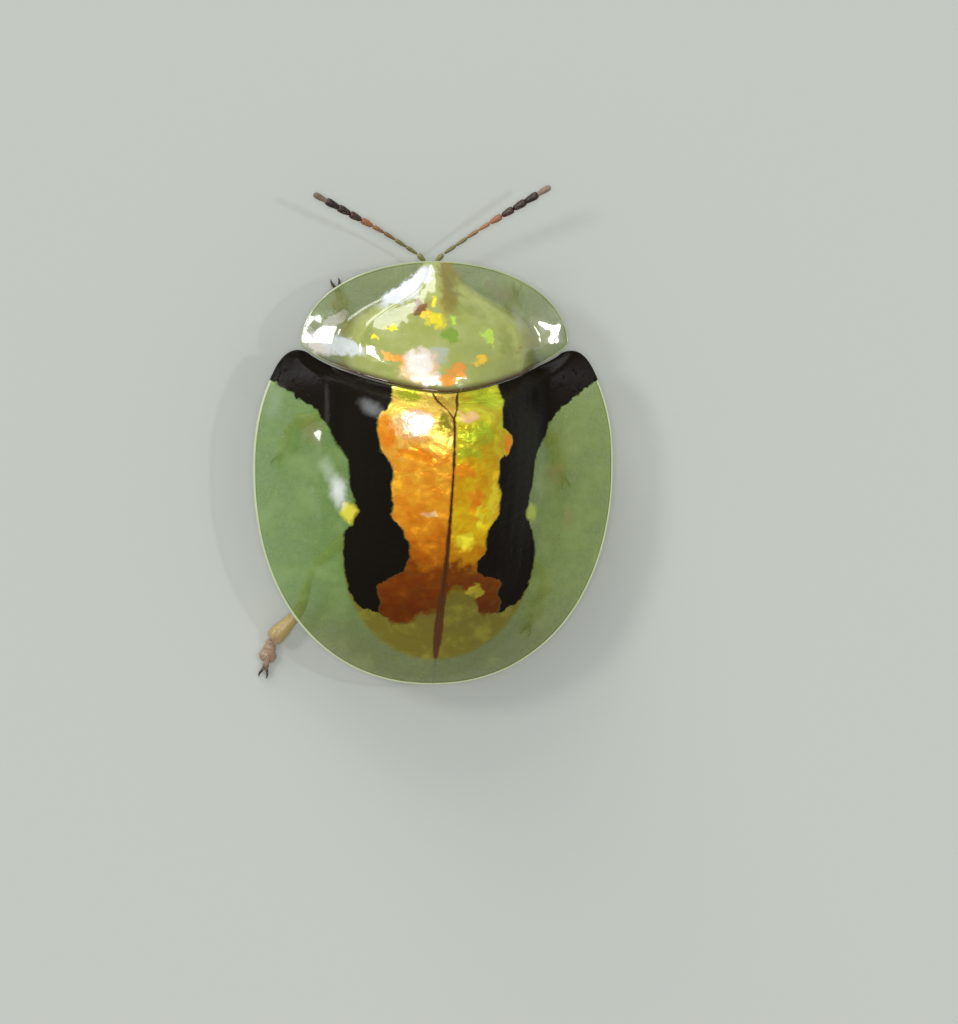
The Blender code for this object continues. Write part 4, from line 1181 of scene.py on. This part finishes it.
def makeScutellum():
    form = SimpleNamespace(**scutellumShape)

    def planPoint(u, v):
        x = (2 * u - 1) * form.halfWidth * (1 - v) ** 0.9
        return Vector((x, pronotumRearY(x, wing.baseGap) - form.length * v))

    def surface(x, y):
        middle = 1 - (abs(x) / form.halfWidth) ** 2
        return elytraHeight(x, y) + form.proud * (0.4 + 0.6 * middle)

    shares = [k / form.steps for k in range(form.steps + 1)]
    mesh = plateMesh([[planPoint(u, v) for u in shares] for v in shares], surface, form.thickness)
    material, shader, place = newMaterial("scutellum_gold", Metallic=0.6, Coat_Weight=0.3)
    foil = useGroup(foilGroup, {"Place": place, "Base": form.colour, "Crinkle": 8.0})
    normal = bumped(foil["Height"], 0.012, 0.6)
    feedAll(shader, {"Base Color": foil["Colour"], "Roughness": foil["Gloss"], "Normal": normal})
    finishPiece("scutellum_plate", mesh, material, "gold_cuticle", "scutellum")


# One skin for the thorax and the abdomen, with the sternites below
bodyShape = {
    "rearY": 1.37,
    "frontY": 6.58,
    "halfWidth": 1.27,
    "power": 3.0,
    "narrowing": 0.14,
    "middleZ": 0.95,
    "bellyZ": 0.86,
    "shellGap": 0.78,  # from the top of the shell, the solids' plate and gap together
    "grooves": (1.62, 1.92, 2.26, 2.65, 3.12, 3.95, 4.95),
    "grooveDepth": 0.035,
    "grooveWidth": 0.035,
    "around": 120,
    "rings": 44,
}


def makeBody():
    form = SimpleNamespace(**bodyShape)
    centreY, halfLength = (form.rearY + form.frontY) / 2, (form.frontY - form.rearY) / 2

    def rounded(value):
        return math.copysign(abs(value) ** (2 / form.power), value)

    def roof(x, y):
        rear = pronotumRearY(x)
        shell = elytraHeight(x, min(y, rear - 0.3))
        if y > rear - 0.5:
            shell = min(shell, pronotumHeight(x, y))
        return max(form.middleZ + 0.02, shell - form.shellGap)

    bm = bmesh.new()
    bm.verts.layers.float.new("under")
    groove = bm.verts.layers.float.new("groove")
    grid = []
    for ring in range(1, form.rings * 2):
        latitude = math.pi * ring / (form.rings * 2)
        out, height = math.sin(latitude), abs(math.cos(latitude))
        row = []
        for k in range(form.around):
            turn = 2 * math.pi * k / form.around
            ahead = rounded(math.sin(turn)) * halfLength * out
            taper = 1 - form.narrowing * (ahead / halfLength + 1) / 2
            x, y = rounded(math.cos(turn)) * form.halfWidth * out * taper, centreY + ahead
            cut = max(math.exp(-(((y - line) / form.grooveWidth) ** 2)) for line in form.grooves)
            if latitude < math.pi / 2:
                z = form.middleZ + (roof(x, y) - form.middleZ) * height**0.55
                cut *= 0.5
            else:
                z = form.middleZ - (form.middleZ - form.bellyZ) * height**0.6
                z += cut * form.grooveDepth * height**0.5
            vert = bm.verts.new((x, y, z))
            vert[groove] = cut
            row.append(vert)
        grid.append(row)
    addFaces(bm, grid, rings=True)
    bm.faces.new(grid[0])
    bm.faces.new(grid[-1])
    bmesh.ops.recalc_face_normals(bm, faces=bm.faces)
    finishPiece("body_skin", meshOf(bm), bodyMaterial, "pale_green", "thorax", "abdomen")


# Legs, each as coxa, knee, bend in the tibia, ankle and toe: distance from the midline, distance ahead of the apex
legRoutes = {
    "foreleg_left": (-1, (0.52, 6.10), (1.42, 6.52), (1.54, 6.75), (1.62, 7.00), (1.78, 7.72)),
    "foreleg_right": (1, (0.52, 6.10), (1.45, 6.45), (1.58, 6.70), (1.68, 6.96), (1.80, 7.66)),
    "middle_leg_left": (-1, (0.62, 4.85), (1.95, 5.25), (2.30, 5.21), (2.60, 5.10), (2.92, 4.42)),
    "middle_leg_right": (1, (0.62, 4.85), (1.98, 5.05), (2.30, 4.91), (2.58, 4.72), (2.80, 3.98)),
    "hind_leg_left": (-1, (0.60, 3.80), (2.32, 2.20), (2.50, 1.42), (3.03, 0.84), (3.16, 0.27)),
    "hind_leg_right": (1, (0.60, 3.80), (1.98, 2.72), (2.24, 2.22), (2.42, 1.72), (2.12, 1.05)),
}

legSizes = {
    "stopZ": (0.52, 0.44, 0.38, 0.22, 0.0),
    "coxaZ": (0.88, 0.78, 0.66, 0.52, 0.42),
    # Radii, the stretch of the leg's colours from coxa to claws, and how flat the piece is
    "coxa": ((0.13, 0.19, 0.19, 0.12, 0.07), 0.0, 0.1),
    "femur": ((0.055, 0.115, 0.150, 0.140, 0.105, 0.075), 0.12, 0.48, 0.85),
    "tibia": ((0.070, 0.085, 0.105, 0.135, 0.185, 0.150), 0.50, 0.76, 0.80),
    "knee": ((0.06, 0.085, 0.06), 0.46, 0.52),
    "clawStalk": ((0.03, 0.045, 0.06), 0.86, 0.95),
    "claw": ((0.034, 0.0272, 0.0051), 0.97, 1.0),
    "femurStart": 0.10,  # how far the femur begins inside the coxa
    "femurShares": (0, 0.18, 0.42, 0.65, 0.86, 1.0),
    "femurArch": (0, 0.03, 0.05, 0.05, 0.03, 0),
    "kneeDrop": 0.02,
    "tarsomeres": ((0.12, 0.105, 0.11), (0.30, 0.125, 0.12), (0.56, 0.175, 0.17)),  # share along, half width and length
    "padHeight": 0.085,
    "wrist": (0.66, 0.13),  # share along the foot and height
    "clawRoot": (0.98, 0.10),
    "clawLength": 0.24,
    "clawBends": ((0.6, 0.45), (0.92, 0.30)),  # middle and tip, ahead and aside as shares of the length
    "clawTipZ": 0.012,
    "hairs": {"Per Square mm": 420.0, "Length": 0.075, "Thickness": 0.0035, "Hairy From": 0.70, "Seed": 11},
    "hairFloor": 0.002,
}


def limbMesh(points, radii, start, end, flatness=1.0, steps=36, sides=18):
    values = {"Steps": steps, "Sides": sides, "Flatness": flatness, "Start": start, "End": end}
    return grown(curveThrough(points, radii, smooth=True), limbTree, values)


# A tarsal pad of two lobes, flat below
def padMesh(centre, heading, halfWidth, halfLength, halfHeight, along):
    bm = bmesh.new()
    layer = bm.verts.layers.float.new("along")
    bmesh.ops.create_uvsphere(bm, u_segments=28, v_segments=16, radius=1)
    turn = Matrix.Rotation(heading, 3, "Z")
    for vert in bm.verts:
        x, y, z = vert.co
        cleft = 1 - 0.55 * math.exp(-((x / 0.30) ** 2)) * smoothStep((y + 0.1) / 1.1)
        narrow = 0.72 + 0.28 * smoothStep((y + 1) / 1.3)
        height = halfHeight * (z + 1) if z > 0 else halfHeight * (1 + z * 0.92)
        vert.co = turn @ Vector((x * halfWidth * narrow, y * halfLength * cleft, 0))
        vert.co += Vector((centre.x, centre.y, height))
        vert[layer] = along
    return meshOf(bm)


def makeLegs():
    form = SimpleNamespace(**legSizes)
    for name, (side, *stops) in legRoutes.items():
        hip, knee, bend, ankle, toe = (Vector((side * x, y, z)) for (x, y), z in zip(stops, form.stopZ))
        coxa = [Vector((hip.x, hip.y, z)) for z in form.coxaZ]
        inward = (hip - knee).normalized() * form.femurStart
        femur = [(hip + inward).lerp(knee, share) for share in form.femurShares]
        for point, lift in zip(femur, form.femurArch):
            point.z += lift
        tibia = [knee, knee.lerp(bend, 0.5), bend, bend.lerp(ankle, 0.5), bend.lerp(ankle, 0.9), ankle]
        foot = Vector((toe.x - ankle.x, toe.y - ankle.y, 0))
        forward = foot.normalized()
        across = Vector((-forward.y, forward.x, 0))
        heading = math.atan2(forward.y, forward.x) - math.pi / 2
        pieces = [
            limbMesh(coxa, *form.coxa, sides=22),
            limbMesh(femur, *form.femur),
            limbMesh(tibia, *form.tibia),
            limbMesh([knee - inward * 0.5, knee, knee - Vector((0, 0, form.kneeDrop))], *form.knee, steps=12),
        ]
        for share, *half in form.tarsomeres:
            pieces.append(padMesh(ankle + foot * share, heading, *half, form.padHeight, 0.80 + 0.1 * share))
        wrist, root = (ankle + foot * share for share, z in (form.wrist, form.clawRoot))
        wrist.z, root.z = form.wrist[1], form.clawRoot[1]
        pieces.append(limbMesh([ankle + foot * 0.5, wrist, root], *form.clawStalk))
        for spread in (-1, 1):
            middle, tip = (
                root + (forward * ahead + across * spread * aside) * form.clawLength for ahead, aside in form.clawBends
            )
            tip.z = form.clawTipZ
            pieces.append(limbMesh([root, middle, tip], *form.claw, steps=14, sides=10))
        mesh = joined(pieces)
        hairs = bristled(mesh, form.hairs, forward * 0.9 - Vector((0, 0, 0.15)))
        keptAbove(hairs, form.hairFloor)
        finishPiece(name + "_cuticle", mesh, legMaterial, "amber", name)
        finishPiece(name + "_hairs", hairs, hairMaterial, "amber")


antennaRoutes = {
    "antenna_left": (-1, (0.13, 7.95, 0.50), (0.13, 8.34, 0.52), (0.98, 8.86, 0.68), (2.37, 9.57, 0.98)),
    "antenna_right": (1, (0.13, 7.95, 0.50), (0.13, 8.34, 0.52), (0.98, 8.94, 0.68), (2.27, 9.75, 0.98)),
}


def makeAntennae():
    for name, (side, *route) in antennaRoutes.items():
        stops = [mirrored(point, side) for point in route]
        points = stops[:1]
        for first, second in zip(stops, stops[1:]):
            points += [first.lerp(second, 0.5), second]
        mesh = grown(curveThrough(points, smooth=True), antennaTree, {"Segments": antennaSizes["segments"]})
        hairs = bristled(mesh, antennaSizes["hairs"], (stops[-1] - stops[-2]).normalized() * 1.2)
        finishPiece(name + "_segments", mesh, antennaMaterial, "brown", name)
        finishPiece(name + "_hairs", hairs, hairMaterial, "brown")


# Places and points are from the head's centre, and lowestZ is from the floor
headShape = {
    "centre": (0, 7.28, 0.62),
    # Overlapping balls as centre and half sizes: capsule, frons, clypeus and labrum
    "middle": (
        ((0, 0, 0), (0.69, 0.40, 0.30)), ((0, 0.16, 0.05), (0.50, 0.28, 0.24)),
        ((0, 0.30, -0.10), (0.30, 0.20, 0.20)), ((0, 0.40, -0.24), (0.20, 0.10, 0.09)),
    ),
    # On each side: antennal socket and gena
    "flanks": (((0.14, 0.50, -0.11), (0.10, 0.15, 0.11)), ((0.40, 0.18, -0.20), (0.16, 0.16, 0.12))),
    "mandible": ((0.26, 0.26, -0.24), (0.25, 0.42, -0.28), (0.14, 0.52, -0.29), (0.03, 0.53, -0.29)),
    "mandibleRadii": (0.09, 0.085, 0.06, 0.02),
    "voxel": 0.016,
    "smoothing": 3,
    "palps": (((0.24, 0.24, -0.32), 1.0), ((0.10, 0.22, -0.36), 0.72)),  # root and size
    "palpLine": ((0, 0, 0), (0.05, 0.10, -0.03), (0.05, 0.20, -0.02), (-0.01, 0.28, 0.02)),
    "palpRadii": (0.026, 0.042, 0.024),
    "lowestZ": 0.205,
    "eye": {"Fineness": 5, "Raise": 0.035, "Half Sizes": (0.235, 0.265, 0.245)},
    "eyeCentre": (0.62, 0.04, 0.03),
}


def ballMesh(centre, half):
    bm = bmesh.new()
    bmesh.ops.create_uvsphere(bm, u_segments=32, v_segments=16, radius=1)
    bm.transform(Matrix.Translation(centre) @ Matrix.Diagonal((*half, 1)))
    return meshOf(bm)


# Joins overlapping solids into one smooth skin
def fusedSkin(meshes, voxel, rounds):
    source = newSource(joined(meshes))
    remesh = source.modifiers.new("skin", "REMESH")
    remesh.mode = "VOXEL"
    remesh.voxel_size = voxel
    source.modifiers.new("soften", "SMOOTH").iterations = rounds
    return baked(source)


def makeHead():
    form = SimpleNamespace(**headShape)
    centre = Vector(form.centre)
    solids = [ballMesh(centre + Vector(place), half) for place, half in form.middle]
    palps = []
    for side in sides.values():
        solids += [ballMesh(centre + mirrored(place, side), half) for place, half in form.flanks]
        mandible = [centre + mirrored(point, side) for point in form.mandible]
        solids.append(limbMesh(mandible, form.mandibleRadii, 0, 1))
        for root, size in form.palps:
            start = centre + mirrored(root, side)
            line = [start + mirrored(point, side) * size for point in form.palpLine]
            for first, second in zip(line, line[1:]):
                stops = [first, first.lerp(second, 0.6), second]
                palps.append(limbMesh(stops, form.palpRadii, 0, 1, steps=12, sides=12))
    mesh = joined([fusedSkin(solids, form.voxel, form.smoothing)] + palps)
    keptAbove(mesh, form.lowestZ)
    finishPiece("head_capsule", mesh, headMaterial, "amber", "head")
    for name, side in sides.items():
        eyeCentre = centre + mirrored(form.eyeCentre, side)
        values = {**form.eye, "Centre": tuple(eyeCentre), "Material": eyeMaterial}
        eye = grown(bpy.data.meshes.new("eye"), facetTree, values)
        finishPiece("eye_facets_" + name, eye, eyeMaterial, "black", "eye_" + name)


makeElytra()
print("elytra made")
makePronotum()
makeScutellum()
print("pronotum and scutellum made")
makeBody()
makeLegs()
print("body and legs made")
makeAntennae()
makeHead()
print("antennae and head made")
bpy.data.collections.remove(workbench)


# Studio: a pale floor, a large lamp in front on the left, and smaller ones overhead
studio = {
    "floorSize": 3.0,
    "floor": (0.49, 0.52, 0.48),
    "floorRoughness": 0.9,
    "worldLight": (0.42, 0.42, 0.42),
    "worldSeen": (0.50, 0.53, 0.50),
    # name: direction towards the lamp, angular radius in degrees, radiance of its disc
    "lamps": {
        "front_lamp": ((-0.35, 0.89, 0.30), 15.0, 7.0),
        "overhead_lamp": ((-0.18, 0.03, 0.983), 7.0, 20.0),
        "shoulder_lamp": ((-0.71, 0.33, 0.62), 6.0, 24.0),
        "glint_lamp": ((0.52, 0.10, 0.85), 1.9, 90.0),
    },
}


def makeStudio():
    bpy.ops.mesh.primitive_plane_add(size=studio["floorSize"])
    floor = bpy.context.object
    floor.name = "studio_floor"
    material = bpy.data.materials.new("studio_floor")
    material.use_nodes = True
    shader = material.node_tree.nodes["Principled BSDF"].inputs
    feedAll(shader, {"Base Color": studio["floor"], "Roughness": studio["floorRoughness"]})
    floor.data.materials.append(material)
    for name, (towards, radius, radiance) in studio["lamps"].items():
        lamp = bpy.data.lights.new(name, "SUN")
        lamp.angle = math.radians(radius * 2)
        lamp.energy = radiance * math.pi * math.sin(math.radians(radius)) ** 2
        lit = bpy.data.objects.new(name, lamp)
        lit.rotation_euler = Vector(towards).to_track_quat("Z", "Y").to_euler()
        bpy.context.scene.collection.objects.link(lit)
    world = bpy.data.worlds.new("studio")
    world.use_nodes = True
    drawing["tree"] = world.node_tree
    seen = addNode("ShaderNodeLightPath", {}, "Is Camera Ray")
    background = world.node_tree.nodes["Background"].inputs
    feed(background["Color"], mixed(seen, studio["worldLight"], studio["worldSeen"]))
    bpy.context.scene.world = world
    bpy.context.scene.view_settings.view_transform = "Standard"


# The camera looks down from the left side, turned so that the beetle heads up the picture
camera = {
    "azimuth": -108.15,
    "elevation": 78.9,
    "roll": 0.5,
    "target": (0.901, 3.388, 1.12),
    "distance": 111.5,
    "lens": 200.0,
    "sensor": 36.0,
    "nearest": 0.001,
}


def makeCamera():
    azimuth, elevation = math.radians(camera["azimuth"]), math.radians(camera["elevation"])
    level, rise = math.cos(elevation), math.sin(elevation)
    back = Vector((math.sin(azimuth) * level, -math.cos(azimuth) * level, rise))
    right = Vector((0, 1, 0)).cross(back).normalized()
    turn = Matrix.Rotation(math.radians(camera["roll"]), 3, back)
    right, up = turn @ right, turn @ back.cross(right)
    data = bpy.data.cameras.new("camera")
    data.lens = camera["lens"]
    data.sensor_width = camera["sensor"]
    data.clip_start = camera["nearest"]
    eye = bpy.data.objects.new("camera", data)
    place = toFrame @ (Vector(camera["target"]) + back * camera["distance"])
    eye.matrix_world = Matrix.Translation(place) @ Matrix((right, up, back)).transposed().to_4x4()
    bpy.context.scene.collection.objects.link(eye)
    bpy.context.scene.camera = eye


makeStudio()
makeCamera()
print("studio and camera made")
